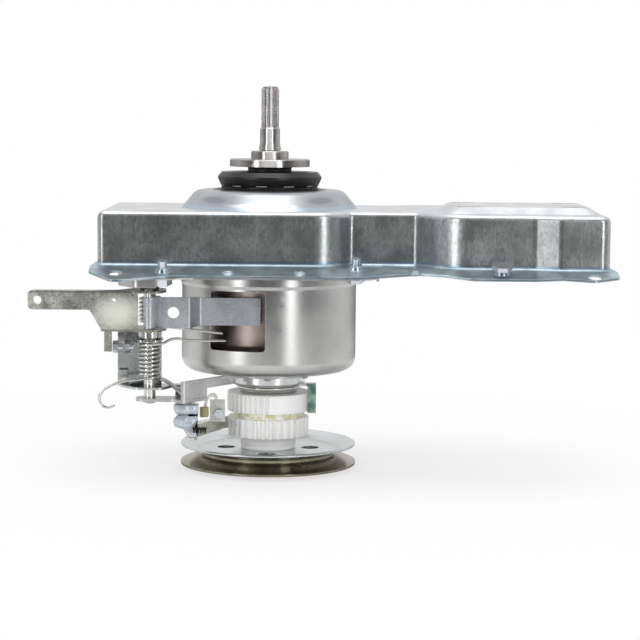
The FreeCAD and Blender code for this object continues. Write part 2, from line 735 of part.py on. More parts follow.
def make_brake_case():
    can = rod(CASE_R, CASE_FOOT, FLANGE_UNDER)
    can = can.makeFillet(CASE_CORNER_R, level_edges(can, CASE_FOOT))
    bead_z = CASE_LEVEL - CASE_BEAD_H
    can = can.fuse(spin([(CASE_R - 1, bead_z - 3), (CASE_R, bead_z - 3), (CASE_R + CASE_BEAD, bead_z - 1),
                         (CASE_R + CASE_BEAD, CASE_LEVEL), (CASE_R - 1, CASE_LEVEL)]))
    hollow = rod(CASE_R - CASE_SHEET, CASE_FOOT + CASE_SHEET, FLANGE_UNDER + 1)
    hollow = hollow.makeFillet(CASE_CORNER_R - CASE_SHEET, level_edges(hollow, CASE_FOOT + CASE_SHEET))
    outline = case_flange_outline()
    pan = slab(outline, CASE_LEVEL, FLANGE_UNDER)
    hollow_pan = slab(inset_corners(outline, CASE_SHEET), CASE_LEVEL - 1, FLANGE_UNDER + 1)
    flange = pan.common(rim_sheet(SHEET, CASE_SHEET))
    rim = pan.cut(hollow_pan).common(rim_sheet(SHEET, FAR))
    lip = slab(outline, CASE_LEVEL - CASE_EAR_LIP, CASE_LEVEL + 1.0)
    lip = lip.cut(slab(inset_corners(outline, CASE_SHEET), CASE_LEVEL - CASE_EAR_LIP - 1, CASE_LEVEL + 2))
    lip_room = box(-CASE_EAR_X, CASE_EAR_LIP_X, -CASE_R - CASE_EAR_X, BODY_FRONT,
                   CASE_LEVEL - CASE_EAR_LIP, CASE_LEVEL + 1.0)
    lip = lip.common(rim_sheet(SHEET, FAR)).common(lip_room)
    curl_y = CASE_FLANGE_Y - CASE_CURL_IN
    curl = box(CASE_FLANGE_X - CASE_SHEET, CASE_FLANGE_X, -curl_y, curl_y,
               CASE_LEVEL - CASE_CURL, CASE_LEVEL + 1.0)
    body = can.fuse([flange, rim, lip, curl]).cut(hollow)
    window_top = CASE_LEVEL - WINDOW_TOP
    window = upright([(WINDOW_LEFT, window_top - WINDOW_H), (WINDOW_RIGHT, window_top - WINDOW_H),
                      (WINDOW_RIGHT, window_top), (WINDOW_LEFT, window_top)],
                     -CASE_R - 5, -20.0)
    window = window.makeFillet(WINDOW_CORNER_R, [edge for edge in window.Edges
                                                 if edge.BoundBox.YLength > 20])
    side_z = window_top
    side = box(-CASE_R - 5, -CASE_R + 8, -SIDE_WINDOW_Y, SIDE_WINDOW_Y, side_z - SIDE_WINDOW_H, side_z)
    cuts = [window, side, rod(CASE_BORE_R, CASE_FOOT - 1, CASE_FOOT + 4),
            rod(PIVOT_R, CASE_FLANGE_UNDER - 1, FLANGE_UNDER + 1, PIVOT_X, PIVOT_Y)]
    for x, y in screw_places()[:4]:
        seat = -SHEET - CASE_SHEET
        cuts.append(on_rim(rod(SCREW_R + 0.2, seat - 1, -SHEET + 1), x, y))
        cuts.append(on_rim(rod(SCREW_WASHER_R + 0.1, seat - SCREW_WASHER_T - SHEET, seat), x, y))
    for x, y in cover_bosses():
        cuts.append(rod(COVER_BOSS_R - 0.6, CASE_FOOT - 1, CASE_FOOT + 4, x, y))
    keep("brake_case", body.cut(Part.makeCompound(cuts)))


def screw(x, y, stack):
    """Hex washer screw driven upwards through a stack of sheet, with its point past the plate."""
    washer_foot = -stack - SCREW_WASHER_T
    head = hexagon(2 * SCREW_HEAD_R * math.cos(math.pi / 6), washer_foot - SCREW_HEAD_H, washer_foot)
    shank = rod(SCREW_R, -stack, COLLAR_H + SCREW_STUB)
    return on_rim(union([head, rod(SCREW_WASHER_R, washer_foot, -stack), shank]), x, y)


def make_screws():
    places = screw_places()
    keep("case_screws", *[screw(x, y, SHEET + CASE_SHEET) for x, y in places[:4]])
    head = rod(STUD_HEAD_R, -SHEET - STUD_HEAD_H, -SHEET)
    nut = hexagon(2 * SCREW_R + COLLAR_R, COLLAR_H, COLLAR_H + STUD_NUT_H)
    shank = rod(SCREW_R, -SHEET, COLLAR_H + STUD_NUT_H)
    keep("arm_screw", on_rim(union([head, shank, nut]), SCREW_ARM_X, SCREW_ARM_Y))


def make_seal():
    top = SEAL_TOP
    foot = SEAL_TOP - SEAL_H
    bore = NECK_R + FREE_GAP
    body = spin([(bore, top), (SEAL_TOP_R, top), (SEAL_MAX_R, top - SEAL_SHOULDER + 1.4),
                 (SEAL_MAX_R, top - SEAL_SHOULDER), (SEAL_FOOT_R, foot), (SEAL_FOOT_R, foot - 0.6),
                 (SEAL_SKIRT_R, DOME_TOP), (BEARING_R - 2.0, DOME_TOP), (BEARING_R - 2.0, top - 5.0),
                 (bore, top - 5.0)])
    plug = ring(DOME_HOLE_R, BEARING_R - 2.0, DOME_TOP - SHEET, DOME_TOP + 0.2)
    notch = box(SEAL_FOOT_R - 1.2, SEAL_MAX_R + 1, -SEAL_NOTCH_W / 2, SEAL_NOTCH_W / 2,
                foot - 0.2, foot - 0.2 + SEAL_NOTCH_H)
    keep("water_seal", body.fuse(plug).cut(Part.makeCompound(around(notch, SEAL_NOTCHES))))
    keep("shaft_boot", spin([(TUB_SHAFT_R, -HUB_T), (NECK_R, -HUB_T), (NECK_R - 0.8, -HUB_T - 1.2),
                             (NECK_R - 0.8, SEAL_TOP), (NECK_R, SEAL_TOP - 1.0), (NECK_R, SEAL_TOP - 3.6),
                             (TUB_SHAFT_R, SEAL_TOP - 4.4)]))


def make_bearing(prefix, top, width):
    """Deep groove ball bearing: two rings with a raceway and a ring of balls."""
    foot = top - width
    middle = (top + foot) / 2
    ball_r = (BEARING_R - BEARING_BORE_R) / 2 - RING_T + 0.9
    circle = (BEARING_R + BEARING_BORE_R) / 2
    groove = Part.makeTorus(circle, ball_r + 0.06, V(0, 0, middle), UP)
    outer = ring(BEARING_R, BEARING_R - RING_T, foot, top).cut(groove)
    inner = ring(BEARING_BORE_R + RING_T, BEARING_BORE_R, foot, top).cut(groove)
    keep(prefix + "_outer_ring", outer)
    keep(prefix + "_inner_ring", inner)
    ball = Part.makeSphere(ball_r, V(circle, 0, middle))
    keep(prefix + "_balls", *around(ball, BALLS))


def cover_bosses():
    circle = (COVER_FLANGE_R + COVER_R) / 2
    start = math.pi / COVER_BOSSES
    step = 2 * math.pi / COVER_BOSSES
    return [(circle * math.cos(start + k * step), circle * math.sin(start + k * step))
            for k in range(COVER_BOSSES)]


def make_bearing_seats():
    top = DOME_TOP - SHEET
    foot = UPPER_BEARING_TOP - UPPER_BEARING_W - CUP_SHEET
    outer = BEARING_R + CUP_SHEET
    keep("upper_bearing_cup", spin([
        (BEARING_R - 2.0, top), (CUP_FLANGE_R, top), (CUP_FLANGE_R, top - CUP_SHEET),
        (outer, top - CUP_SHEET), (outer, foot), (CASE_BORE_R + 1, foot), (CASE_BORE_R + 1, foot + CUP_SHEET),
        (BEARING_R, foot + CUP_SHEET), (BEARING_R, top - CUP_SHEET), (BEARING_R - 2.0, top - CUP_SHEET)]))
    top = CASE_FOOT
    body = spin([(BEARING_R, top), (COVER_FLANGE_R, top), (COVER_FLANGE_R, top - CUP_SHEET),
                 (COVER_R, top - CUP_SHEET), (COVER_R, COVER_FOOT + 2.0), (COVER_R - 2.0, COVER_FOOT),
                 (COVER_BORE_R, COVER_FOOT), (COVER_BORE_R, COVER_FOOT + CUP_SHEET),
                 (BEARING_R, COVER_FOOT + CUP_SHEET)])
    holes = [rod(COVER_BOSS_R - 0.6, top - 3, top + 1, x, y) for x, y in cover_bosses()]
    tab_top = COVER_FOOT + CUP_SHEET
    tab = box(COVER_TAB_ROOT, COVER_TAB_REACH, COVER_TAB_FRONT, COVER_TAB_BACK, COVER_FOOT, tab_top)
    leaf = box(COVER_TAB_REACH - COVER_TAB_W, COVER_TAB_REACH, COVER_TAB_FRONT, COVER_TAB_FRONT + CUP_SHEET,
               tab_top - COVER_TAB_H, tab_top)
    body = union([body, tab, leaf])
    keep("lower_bearing_cover", body.cut(Part.makeCompound(holes)))
    rivets = []
    for x, y in cover_bosses():
        foot = CASE_FOOT - CUP_SHEET - BRACKET_SHEET
        shank = rod(COVER_BOSS_R - 0.6, foot, CASE_FOOT + CASE_SHEET, x, y)
        head = Part.makeCone(COVER_BOSS_R - 0.8, COVER_BOSS_R, 1.4, V(x, y, foot - 1.4))
        rivets.append(union([shank, head]))
    keep("cover_rivets", *rivets)


def make_tub_shaft():
    foot = -TUB_SHAFT_LENGTH
    body = spin([(TUB_BORE_R, BOSS_H), (BOSS_R - 0.6, BOSS_H), (BOSS_R, BOSS_H - 0.6), (BOSS_R, 0),
                 (HUB_R - 0.6, 0), (HUB_R, -0.6), (HUB_R, -HUB_T), (TUB_SHAFT_R, -HUB_T),
                 (TUB_SHAFT_R, foot), (TUB_BORE_R, foot)])
    keep("tub_shaft", body)
    for name, top in (("upper_bush", BOSS_H), ("lower_bush", foot + BUSH_LENGTH)):
        keep(name, ring(TUB_BORE_R, PULSATOR_R + RUN_FIT, top - BUSH_LENGTH, top))


def make_drum():
    foot = DRUM_FOOT
    drum = rod(DRUM_R, foot, DRUM_TOP)
    drum = drum.makeFillet(DRUM_CORNER_R, level_edges(drum, foot))
    hollow = rod(DRUM_R - DRUM_WALL, foot + DRUM_WALL, DRUM_TOP + 1)
    hollow = hollow.makeFillet(DRUM_CORNER_R - DRUM_WALL, level_edges(hollow, foot + DRUM_WALL))
    keep("brake_drum", drum.cut(hollow).cut(rod(TUB_SHAFT_R, foot - 1, foot + 5)))
    keep("drum_cover", ring(DRUM_R - DRUM_WALL, TUB_SHAFT_R, DRUM_TOP - DRUM_COVER_T, DRUM_TOP))
    bush_r = INPUT_R + RUN_FIT
    keep("lower_spin_shaft", spin([
        (TUB_BORE_R, foot + DRUM_WALL + 3.0), (TUB_SHAFT_R + 4.0, foot + DRUM_WALL + 3.0),
        (TUB_SHAFT_R + 4.0, foot + DRUM_WALL), (TUB_SHAFT_R, foot + DRUM_WALL),
        (TUB_SHAFT_R, COVER_FOOT - 0.6),
        (SPIN_BOSS_R, COVER_FOOT - 0.6), (SPIN_BOSS_R, SPIN_BOSS_FOOT), (TUB_BORE_R, SPIN_BOSS_FOOT)]))
    keep("input_bush", ring(TUB_BORE_R, bush_r, SPIN_BOSS_FOOT, SPIN_BOSS_FOOT + 2 * BUSH_LENGTH))
    low = COVER_FOOT - 0.6 - DUST_WASHER_H
    keep("dust_washer", spin([(SPIN_BOSS_R, COVER_FOOT - 0.6), (DUST_WASHER_R, COVER_FOOT - 0.6),
                              (DUST_WASHER_R, COVER_FOOT - 1.4), (DUST_WASHER_R - 2.4, low),
                              (SPIN_BOSS_R, low)]))


def arc_band(inner, outer, z_low, z_high, start, sweep):
    """Part of a ring between two angles."""
    face = Part.Face(Part.makePolygon([V(inner, 0, z_low), V(outer, 0, z_low), V(outer, 0, z_high),
                                       V(inner, 0, z_high), V(inner, 0, z_low)]))
    return turned(face.revolve(V(0, 0, 0), UP, sweep), start)


def make_brake():
    lining_in = DRUM_R + LINING_GAP
    lining_out = lining_in + LINING_T
    low = BAND_TOP - BAND_W
    keep("brake_lining", arc_band(lining_in, lining_out, low + 0.8, BAND_TOP - 0.8, BAND_START, BAND_SWEEP))
    band = arc_band(lining_out, lining_out + BAND_T, low, BAND_TOP, BAND_START, BAND_SWEEP)
    end = BAND_START + BAND_SWEEP
    reach = CASE_R - CASE_SHEET - 0.1
    anchor = box(lining_out, reach, -0.6, BAND_T - 0.6, low + 2.0, BAND_TOP - 2.0)
    keep("brake_band", band.fuse(turned(anchor, end - 1.0)))


def involute(angle):
    return math.tan(angle) - angle


def polar(radius, angle, z=0.0):
    return V(radius * math.cos(angle), radius * math.sin(angle), z)


def gear_face(teeth, rise, depth, thinning, phase, z):
    """Outline of a spur gear: involute flanks drawn as three-point arcs."""
    pitch_r = MODULE * teeth / 2
    pressure = math.radians(PRESSURE_ANGLE)
    base_r = pitch_r * math.cos(pressure)
    tip_r = pitch_r + rise * MODULE
    root_r = pitch_r - depth * MODULE
    start_r = max(base_r, root_r)
    half = (math.pi * MODULE / 2 - thinning) / 2 / pitch_r

    def reach(radius):
        turn = math.acos(min(1.0, base_r / radius))
        return half + involute(pressure) - involute(turn)

    middle_r = (start_r + tip_r) / 2
    step = 2 * math.pi / teeth
    edges = []
    for index in range(teeth):
        centre = phase + index * step
        low = [polar(start_r, centre + side * reach(start_r), z) for side in (-1, 1)]
        mid = [polar(middle_r, centre + side * reach(middle_r), z) for side in (-1, 1)]
        top = [polar(tip_r, centre + side * reach(tip_r), z) for side in (-1, 1)]
        root = [polar(root_r, centre + side * reach(start_r), z) for side in (-1, 1)]
        following = polar(root_r, centre + step - reach(start_r), z)
        if root_r < start_r - 1e-6:
            edges.append(Part.LineSegment(root[0], low[0]).toShape())
        edges.append(Part.Arc(low[0], mid[0], top[0]).toShape())
        edges.append(Part.Arc(top[0], polar(tip_r, centre, z), top[1]).toShape())
        edges.append(Part.Arc(top[1], mid[1], low[1]).toShape())
        if root_r < start_r - 1e-6:
            edges.append(Part.LineSegment(low[1], root[1]).toShape())
        edges.append(Part.Arc(root[1], polar(root_r, centre + step / 2, z), following).toShape())
    return Part.Face(Part.Wire(edges))


def make_gears():
    sun = gear_face(SUN_TEETH, ADDENDUM, DEDENDUM, BACKLASH / 2, 0.0, PLANET_FOOT)
    sun = sun.extrude(V(0, 0, PLANET_W))
    pilot = rod(PILOT_R, PLANET_TOP - 1.0, PLANET_TOP + PILOT_LENGTH)
    shaft = rod(INPUT_R, PULLEY_WEB - 3 * PULLEY_SHEET, PLANET_FOOT)
    thread = rod(THREAD_R, INPUT_FOOT, PULLEY_WEB - 3 * PULLEY_SHEET)
    thread = thread.makeChamfer(0.8, level_edges(thread, INPUT_FOOT))
    keep("input_shaft", union([sun, pilot, shaft, thread]))
    half_pitch = math.pi / PLANET_TEETH
    planet = gear_face(PLANET_TEETH, ADDENDUM, DEDENDUM, BACKLASH / 2, half_pitch, PLANET_FOOT)
    planet = planet.extrude(V(0, 0, PLANET_W))
    planet = planet.cut(rod(PLANET_PIN_R + PIN_FIT, PLANET_FOOT - 1, PLANET_TOP + 1))
    planet = shifted(planet, x=PLANET_CIRCLE)
    for index in range(PLANETS):
        keep("planet_%d" % (index + 1), turned(planet, index * 360.0 / PLANETS))
    ring_low = (PLANET_TOP + PLANET_FOOT - RING_W) / 2
    spaces = gear_face(RING_TEETH, DEDENDUM, ADDENDUM, -BACKLASH / 2, math.pi / RING_TEETH, ring_low - 1)
    rim = rod(DRUM_R - DRUM_WALL, ring_low, ring_low + RING_W)
    keep("ring_gear", rim.cut(spaces.extrude(V(0, 0, RING_W + 2))))


def make_pulsator():
    land_top = SHAFT_TOP - SPLINE_LENGTH
    foot = CARRIER_TOP - CARRIER_T
    shaft = spin([(0, SHAFT_TOP), (SPLINE_R, SHAFT_TOP), (SPLINE_R, land_top), (LAND_R, land_top - 0.8),
                  (LAND_R, land_top - 9.0), (LAND_FOOT_R, BOSS_H + 0.6), (PULSATOR_R, BOSS_H + 0.5),
                  (PULSATOR_R, foot), (0, foot)])
    shaft = shaft.makeFillet(TIP_ROUND, level_edges(shaft, SHAFT_TOP, lambda edge: edge.BoundBox.XLength > 2))
    groove_r = SPLINE_R - SPLINE_ROOT_R
    groove = rod(groove_r, land_top + 1.0, SHAFT_TOP + 1, SPLINE_R)
    groove = groove.fuse(Part.makeSphere(groove_r, V(SPLINE_R, 0, land_top + 1.0)))
    cuts = around(groove, SPLINE_TEETH)
    cuts.append(rod(TAP_R, SHAFT_TOP - TAP_DEPTH, SHAFT_TOP + 1))
    cuts.append(rod(PILOT_R + RUN_FIT, foot - 1, PLANET_TOP + PILOT_LENGTH + FREE_GAP))
    keep("pulsator_shaft", shaft.cut(Part.makeCompound(cuts)))
    pin_low = PLANET_FOOT - GEAR_SIDE_GAP - CARRIER_T
    seats = [rod(PLANET_PIN_R, pin_low - 1, CARRIER_TOP + 1, PLANET_CIRCLE)]
    seats = around(seats[0], PLANETS)
    upper = ring(CARRIER_R, PULSATOR_R, foot, CARRIER_TOP)
    lower = ring(CARRIER_R, MODULE * SUN_TEETH / 2 + 2.5, pin_low, pin_low + CARRIER_T)
    keep("planet_carrier", upper.cut(Part.makeCompound(seats)), lower.cut(Part.makeCompound(seats)))
    keep("planet_pins", *around(rod(PLANET_PIN_R, pin_low, CARRIER_TOP, PLANET_CIRCLE), PLANETS))


def ratchet_ring(radius, z_low, z_high, teeth, first, last):
    """Ring with saw teeth between two angles and a smooth rim elsewhere."""
    pitch = 2 * math.pi * radius / teeth
    outline = [(radius + 0.5, -0.42 * pitch), (radius + 0.5, 0.38 * pitch),
               (radius - SLEEVE_TOOTH, 0.06 * pitch), (radius - SLEEVE_TOOTH, -0.22 * pitch)]
    wire = Part.makePolygon([V(x, y, z_low - 1) for x, y in outline + outline[:1]])
    notch = Part.Face(wire).extrude(V(0, 0, z_high - z_low + 2))
    spaces = []
    for index in range(teeth):
        angle = index * 360.0 / teeth
        if first <= angle <= last:
            spaces.append(turned(notch, angle))
    return ring(radius, SLEEVE_BORE_R, z_low, z_high).cut(Part.makeCompound(spaces))


def make_sleeve():
    first_foot = SLEEVE_TOP - SLEEVE_RING_H
    waist_foot = first_foot - SLEEVE_WAIST_H
    lid_bore = SPIN_BOSS_R + FREE_GAP
    upper = ratchet_ring(SLEEVE_UPPER_R, first_foot, SLEEVE_TOP, UPPER_TEETH, TEETH_FROM, TEETH_TO)
    lower = ratchet_ring(SLEEVE_LOWER_R, SLEEVE_FOOT, waist_foot, LOWER_TEETH, 0.0, 360.0)
    waist = ring(SLEEVE_WAIST_R, SLEEVE_BORE_R, waist_foot, first_foot)
    lid = ring(SLEEVE_BORE_R + 1.0, lid_bore, SLEEVE_TOP - 2.0, SLEEVE_TOP)
    hub = ring(SLEEVE_HUB_R, CLUTCH_HUB_R + FREE_GAP, SLEEVE_FOOT - SLEEVE_HUB_H, SLEEVE_FOOT + 1.6)
    keep("ratchet_sleeve", union([upper, waist, lower, lid, hub]))
    foot = SLEEVE_FOOT - SLEEVE_HUB_H - FREE_GAP
    keep("clutch_hub", spin([(INPUT_R, CLUTCH_HUB_TOP), (CLUTCH_HUB_R, CLUTCH_HUB_TOP), (CLUTCH_HUB_R, foot),
                             (CLUTCH_HUB_R + 0.9, foot), (CLUTCH_HUB_R + 0.9, PULLEY_WEB),
                             (INPUT_R, PULLEY_WEB)]))


def make_pulley():
    t = PULLEY_SHEET
    step = PULLEY_GROOVE_R + 1.4
    dish = PULLEY_TOP - 2.0
    upper = spin([(INPUT_R, PULLEY_WEB), (step, PULLEY_WEB), (PULLEY_RIDGE_R, dish),
                  (PULLEY_UPPER_R - 0.8, PULLEY_TOP), (PULLEY_UPPER_R, PULLEY_TOP - 0.5),
                  (PULLEY_UPPER_R, PULLEY_TOP - t), (PULLEY_RIDGE_R + 0.6, dish - t),
                  (step + 0.6, PULLEY_WEB - t), (INPUT_R, PULLEY_WEB - t)])
    web = PULLEY_WEB - t
    foot = PULLEY_TOP - PULLEY_H
    groove = PULLEY_GROOVE_R
    lower = spin([(INPUT_R, web), (groove, web), (groove, web - 2.2), (groove + 3.4, web - 3.0),
                  (PULLEY_LOWER_R, foot + t), (PULLEY_LOWER_R, foot), (groove + 2.8, web - 3.0 - t),
                  (groove - t, web - 2.2 - t / 2), (groove - t, web - t), (INPUT_R, web - t)])
    hole = rod(PULLEY_HOLE_R, foot - 1, PULLEY_TOP, PULLEY_HOLE_CIRCLE)
    holes = Part.makeCompound(around(hole, PULLEY_HOLES))
    keep("pulley_upper_half", upper.cut(holes))
    keep("pulley_lower_half", lower.cut(holes))
    washer_top = PULLEY_WEB - 2 * t
    keep("pulley_washer", ring(NUT_FLATS / 2 + 1.5, INPUT_R, washer_top - t, washer_top))
    nut = hexagon(NUT_FLATS, washer_top - t - NUT_H, washer_top - t)
    keep("pulley_nut", nut.cut(rod(THREAD_R, washer_top - 20, washer_top)))


def arc_edge(start, tangent, end):
    """Arc from a point along a tangent to an end point, or a line where they agree."""
    chord = end.sub(start)
    along = V(chord).normalize()
    side = tangent.sub(along * tangent.dot(along))
    if side.Length < 1e-5:
        return Part.LineSegment(start, end).toShape()
    bend = math.acos(max(-1.0, min(1.0, tangent.dot(along))))
    side.normalize()
    top = start.add(chord * 0.5).add(side * (chord.Length / 2 * math.tan(bend / 2)))
    return Part.Arc(start, top, end).toShape()


def biarc(start, tangent, end, end_tangent):
    """Two tangent arcs between two points with given directions."""
    chord = end.sub(start)
    total = tangent.add(end_tangent)
    share = 2 * (1 - tangent.dot(end_tangent))
    reach = chord.dot(total)
    if share < 1e-9:
        size = chord.dot(chord) / (2 * reach)
    else:
        size = (math.sqrt(reach * reach + share * chord.dot(chord)) - reach) / share
    joint = start.add(end).add((tangent.sub(end_tangent)) * size) * 0.5
    back = arc_edge(end, end_tangent * -1, joint)
    return [arc_edge(start, tangent, joint), back]


def coil_nodes(centre, radius, pitch, turns, top, start_degrees, hand=1):
    """Quarter-turn points and tangents of a helix that runs downwards."""
    nodes = []
    steps = int(round(turns * 4))
    rise = pitch / (2 * math.pi * radius)
    for index in range(steps + 1):
        angle = math.radians(start_degrees) + hand * index * math.pi / 2
        spot = centre.add(polar(radius, angle, top - pitch * index / 4))
        tangent = V(-hand * math.sin(angle), hand * math.cos(angle), -rise).normalize()
        nodes.append((spot, tangent))
    return nodes


def tube(nodes, wire_r):
    """Round wire along points with tangents, as one unbroken sweep."""
    edges = []
    for (start, tangent), (end, end_tangent) in zip(nodes, nodes[1:]):
        straight = V(end.sub(start)).normalize()
        if straight.sub(tangent).Length < 1e-6 and straight.sub(end_tangent).Length < 1e-6:
            edges.append(Part.LineSegment(start, end).toShape())
        else:
            edges += biarc(start, tangent, end, end_tangent)
    path = Part.Wire(Part.__sortEdges__(edges))
    circle = Part.Wire(Part.Circle(nodes[0][0], nodes[0][1], wire_r).toShape())
    return path.makePipeShell([circle], True, False)


def coil_gap(radius, pitch, turns, wire_r):
    """Least gap between neighbouring turns, measured on points of the helix."""
    points = []
    steps = 48
    for index in range(int(turns * steps) + 1):
        angle = 2 * math.pi * index / steps
        points.append(polar(radius, angle, -pitch * index / steps))
    least = pitch
    for index, spot in enumerate(points):
        for other in points[index + steps // 2:index + 3 * steps // 2]:
            least = min(least, spot.distanceToPoint(other))
    return least - 2 * wire_r


def make_pins():
    foot = BRACKET_FOOT - BRACKET_SHEET
    pin = rod(PIVOT_R, foot, CASE_FLANGE_UNDER + CASE_SHEET, PIVOT_X, PIVOT_Y)
    head = Part.makeCone(PIVOT_R - 1.0, PIVOT_R + 1.6, 1.8, V(PIVOT_X, PIVOT_Y, foot - 1.8))
    keep("lever_pivot_pin", union([pin, head]))
    washer_foot = LEVER_TOP + 0.3
    washer = ring(PIVOT_WASHER_R, PIVOT_R, washer_foot, CASE_FLANGE_UNDER, PIVOT_X, PIVOT_Y)
    notch = rod(0.55, washer_foot - 1, CASE_FLANGE_UNDER + 1, PIVOT_X + PIVOT_WASHER_R, PIVOT_Y)
    notches = [turned(notch, k * 360.0 / PIVOT_WASHER_TEETH, PIVOT) for k in range(PIVOT_WASHER_TEETH)]
    keep("pivot_washer", washer.cut(Part.makeCompound(notches)))
    collar = ring(COLLAR_OUT_R, PIVOT_R, COLLAR_TOP - PIVOT_COLLAR_H, COLLAR_TOP, PIVOT_X, PIVOT_Y)
    rims = [edge for edge in collar.Edges if edge.BoundBox.XLength > 1.9 * COLLAR_OUT_R
            and edge.BoundBox.ZLength < 0.01]
    keep("pivot_collar", collar.makeChamfer(0.7, rims))
    low = LEVER_FOOT + LEVER_SHEET
    keep("band_pin", union([
        rod(BAND_PIN_R, LEVER_FOOT, LEVER_TOP, BAND_PIN_X, BAND_PIN_Y),
        Part.makeCone(BAND_PIN_R + 1.2, BAND_PIN_R - 0.4, 1.3, V(BAND_PIN_X, BAND_PIN_Y, LEVER_TOP)),
        Part.makeCone(BAND_PIN_R - 0.4, BAND_PIN_R + 1.2, 1.3,
                      V(BAND_PIN_X, BAND_PIN_Y, low - LEVER_SHEET - 1.3))]))


def make_brake_lever():
    web = upright([(LEVER_TIP_X, LEVER_TOP), (LEVER_WEB_RIGHT, LEVER_TOP), (LEVER_WEB_RIGHT, LEVER_FOOT),
                   (LEVER_DEEP_X, LEVER_FOOT), (LEVER_BEND_X, LEVER_TOP - LEVER_ARM_H),
                   (LEVER_TIP_X, LEVER_TOP - LEVER_ARM_H)], LEVER_FRONT, LEVER_FRONT + LEVER_SHEET)
    tips = [edge for edge in web.Edges if abs(edge.BoundBox.XMax - LEVER_TIP_X) < 1e-3
            and edge.BoundBox.YLength > 0.5 * LEVER_SHEET]
    web = web.makeFillet(3.0, tips)
    arm_y = LEVER_FRONT + LEVER_ARM_DEPTH
    tip = LEVER_TIP_X + 3.5
    rim = box(tip, LEVER_WEB_RIGHT, LEVER_FRONT, arm_y, LEVER_TOP - LEVER_SHEET, LEVER_TOP)
    arm_foot = LEVER_TOP - LEVER_ARM_H
    low_rim = box(tip, LEVER_BEND_X + LEVER_SHEET / 3, LEVER_FRONT, arm_y, arm_foot, arm_foot + LEVER_SHEET)
    drop = math.hypot(LEVER_DEEP_X - LEVER_BEND_X, LEVER_FOOT - arm_foot)
    slope = math.degrees(math.atan2(arm_foot - LEVER_FOOT, LEVER_DEEP_X - LEVER_BEND_X))
    brace = box(LEVER_BEND_X, LEVER_BEND_X + drop, LEVER_FRONT, arm_y, arm_foot, arm_foot + LEVER_SHEET)
    brace = turned(brace, slope, V(LEVER_BEND_X, 0, arm_foot), V(0, 1, 0))
    nose = BAND_PIN_Y - BAND_PIN_R - 3.4
    right = PIVOT_X + LEVER_EAR_R
    ear = [(LEVER_DEEP_X - 1.0, LEVER_FRONT, 1.0), (LEVER_WEB_RIGHT - 3.0, LEVER_FRONT, 2.0),
           (LEVER_WEB_RIGHT, nose, 2.0), (BAND_PIN_X + 7.0, nose, 5.0), (right, PIVOT_Y - 6.0, 6.0),
           (right - 2.0, LEVER_BACK, 6.0), (PIVOT_X - 9.0, LEVER_BACK, 7.0), (PIVOT_X - 20.0, arm_y, 6.0),
           (LEVER_DEEP_X - 1.0, arm_y, 1.0)]
    top_ear = slab(ear, LEVER_TOP - LEVER_SHEET, LEVER_TOP)
    low_ear = slab(ear, LEVER_FOOT, LEVER_FOOT + LEVER_SHEET)
    tab = box(TAB_X, TAB_X + TAB_W, arm_y - LEVER_SHEET, arm_y, LEVER_FOOT - TAB_H, LEVER_FOOT + 0.5)
    body = union([web, rim, low_rim, brace, top_ear, low_ear, tab])
    cuts = [rod(PIVOT_R + PIN_FIT, LEVER_FOOT - 1, LEVER_TOP + 1, PIVOT_X, PIVOT_Y),
            rod(BAND_PIN_R, LEVER_FOOT - 1, LEVER_TOP + 1, BAND_PIN_X, BAND_PIN_Y)]
    hole_z = LEVER_TOP - LEVER_ARM_H / 2
    hole = Part.makeCylinder(LEVER_HOLE_R, 4, V(LEVER_HOLE_X, LEVER_FRONT - 1, hole_z), V(0, 1, 0))
    small = Part.makeCylinder(1.1, 4, V(PIVOT_X - 22.0, LEVER_FRONT - 1, LEVER_TOP - 6.0), V(0, 1, 0))
    keep("brake_lever", body.cut(Part.makeCompound(cuts + [hole, small])))


def make_strap():
    """Strap: an eye round the band pin, a wide pad with a hole, two folds and the narrow pull end."""
    eye_in = BAND_PIN_R + PIN_FIT
    eye_out = eye_in + STRAP_T
    low = STRAP_MID_Z - STRAP_WIDE / 2
    high = STRAP_MID_Z + STRAP_WIDE / 2
    eye = ring(eye_out, eye_in, low, high, BAND_PIN_X, BAND_PIN_Y)
    pad_front = BAND_PIN_Y + eye_in
    pad_back = pad_front + STRAP_T
    front = STRAP_BACK - STRAP_T
    plan = [V(BAND_PIN_X, pad_front, low), V(STRAP_FOLD_X, pad_front, low), V(STRAP_TAPER_X, front, low),
            V(STRAP_END_X, front, low), V(STRAP_END_X, STRAP_BACK, low),
            V(STRAP_TAPER_X - 0.9, STRAP_BACK, low),
            V(STRAP_FOLD_X - 0.9, pad_back, low), V(BAND_PIN_X, pad_back, low), V(BAND_PIN_X, pad_front, low)]
    sheet = Part.Face(Part.makePolygon(plan)).extrude(V(0, 0, STRAP_WIDE))
    narrow_low = STRAP_MID_Z - STRAP_NARROW / 2
    narrow_high = STRAP_MID_Z + STRAP_NARROW / 2
    side = [(BAND_PIN_X - 1, low), (STRAP_FOLD_X + 1.0, low), (STRAP_TAPER_X, narrow_low),
            (STRAP_END_X + 1, narrow_low), (STRAP_END_X + 1, narrow_high), (STRAP_TAPER_X, narrow_high),
            (STRAP_FOLD_X + 1.0, high), (BAND_PIN_X - 1, high)]
    outline = upright(side, pad_front - 2.0, STRAP_BACK + 2.0)
    hole = Part.makeCylinder(STRAP_HOLE_R, 10, V(STRAP_HOLE_X, pad_front - 5, STRAP_MID_Z), V(0, 1, 0))
    bore = rod(eye_in, low - 1, high + 1, BAND_PIN_X, BAND_PIN_Y)
    keep("band_strap", eye.fuse(sheet.common(outline)).cut(bore).cut(hole).removeSplitter())


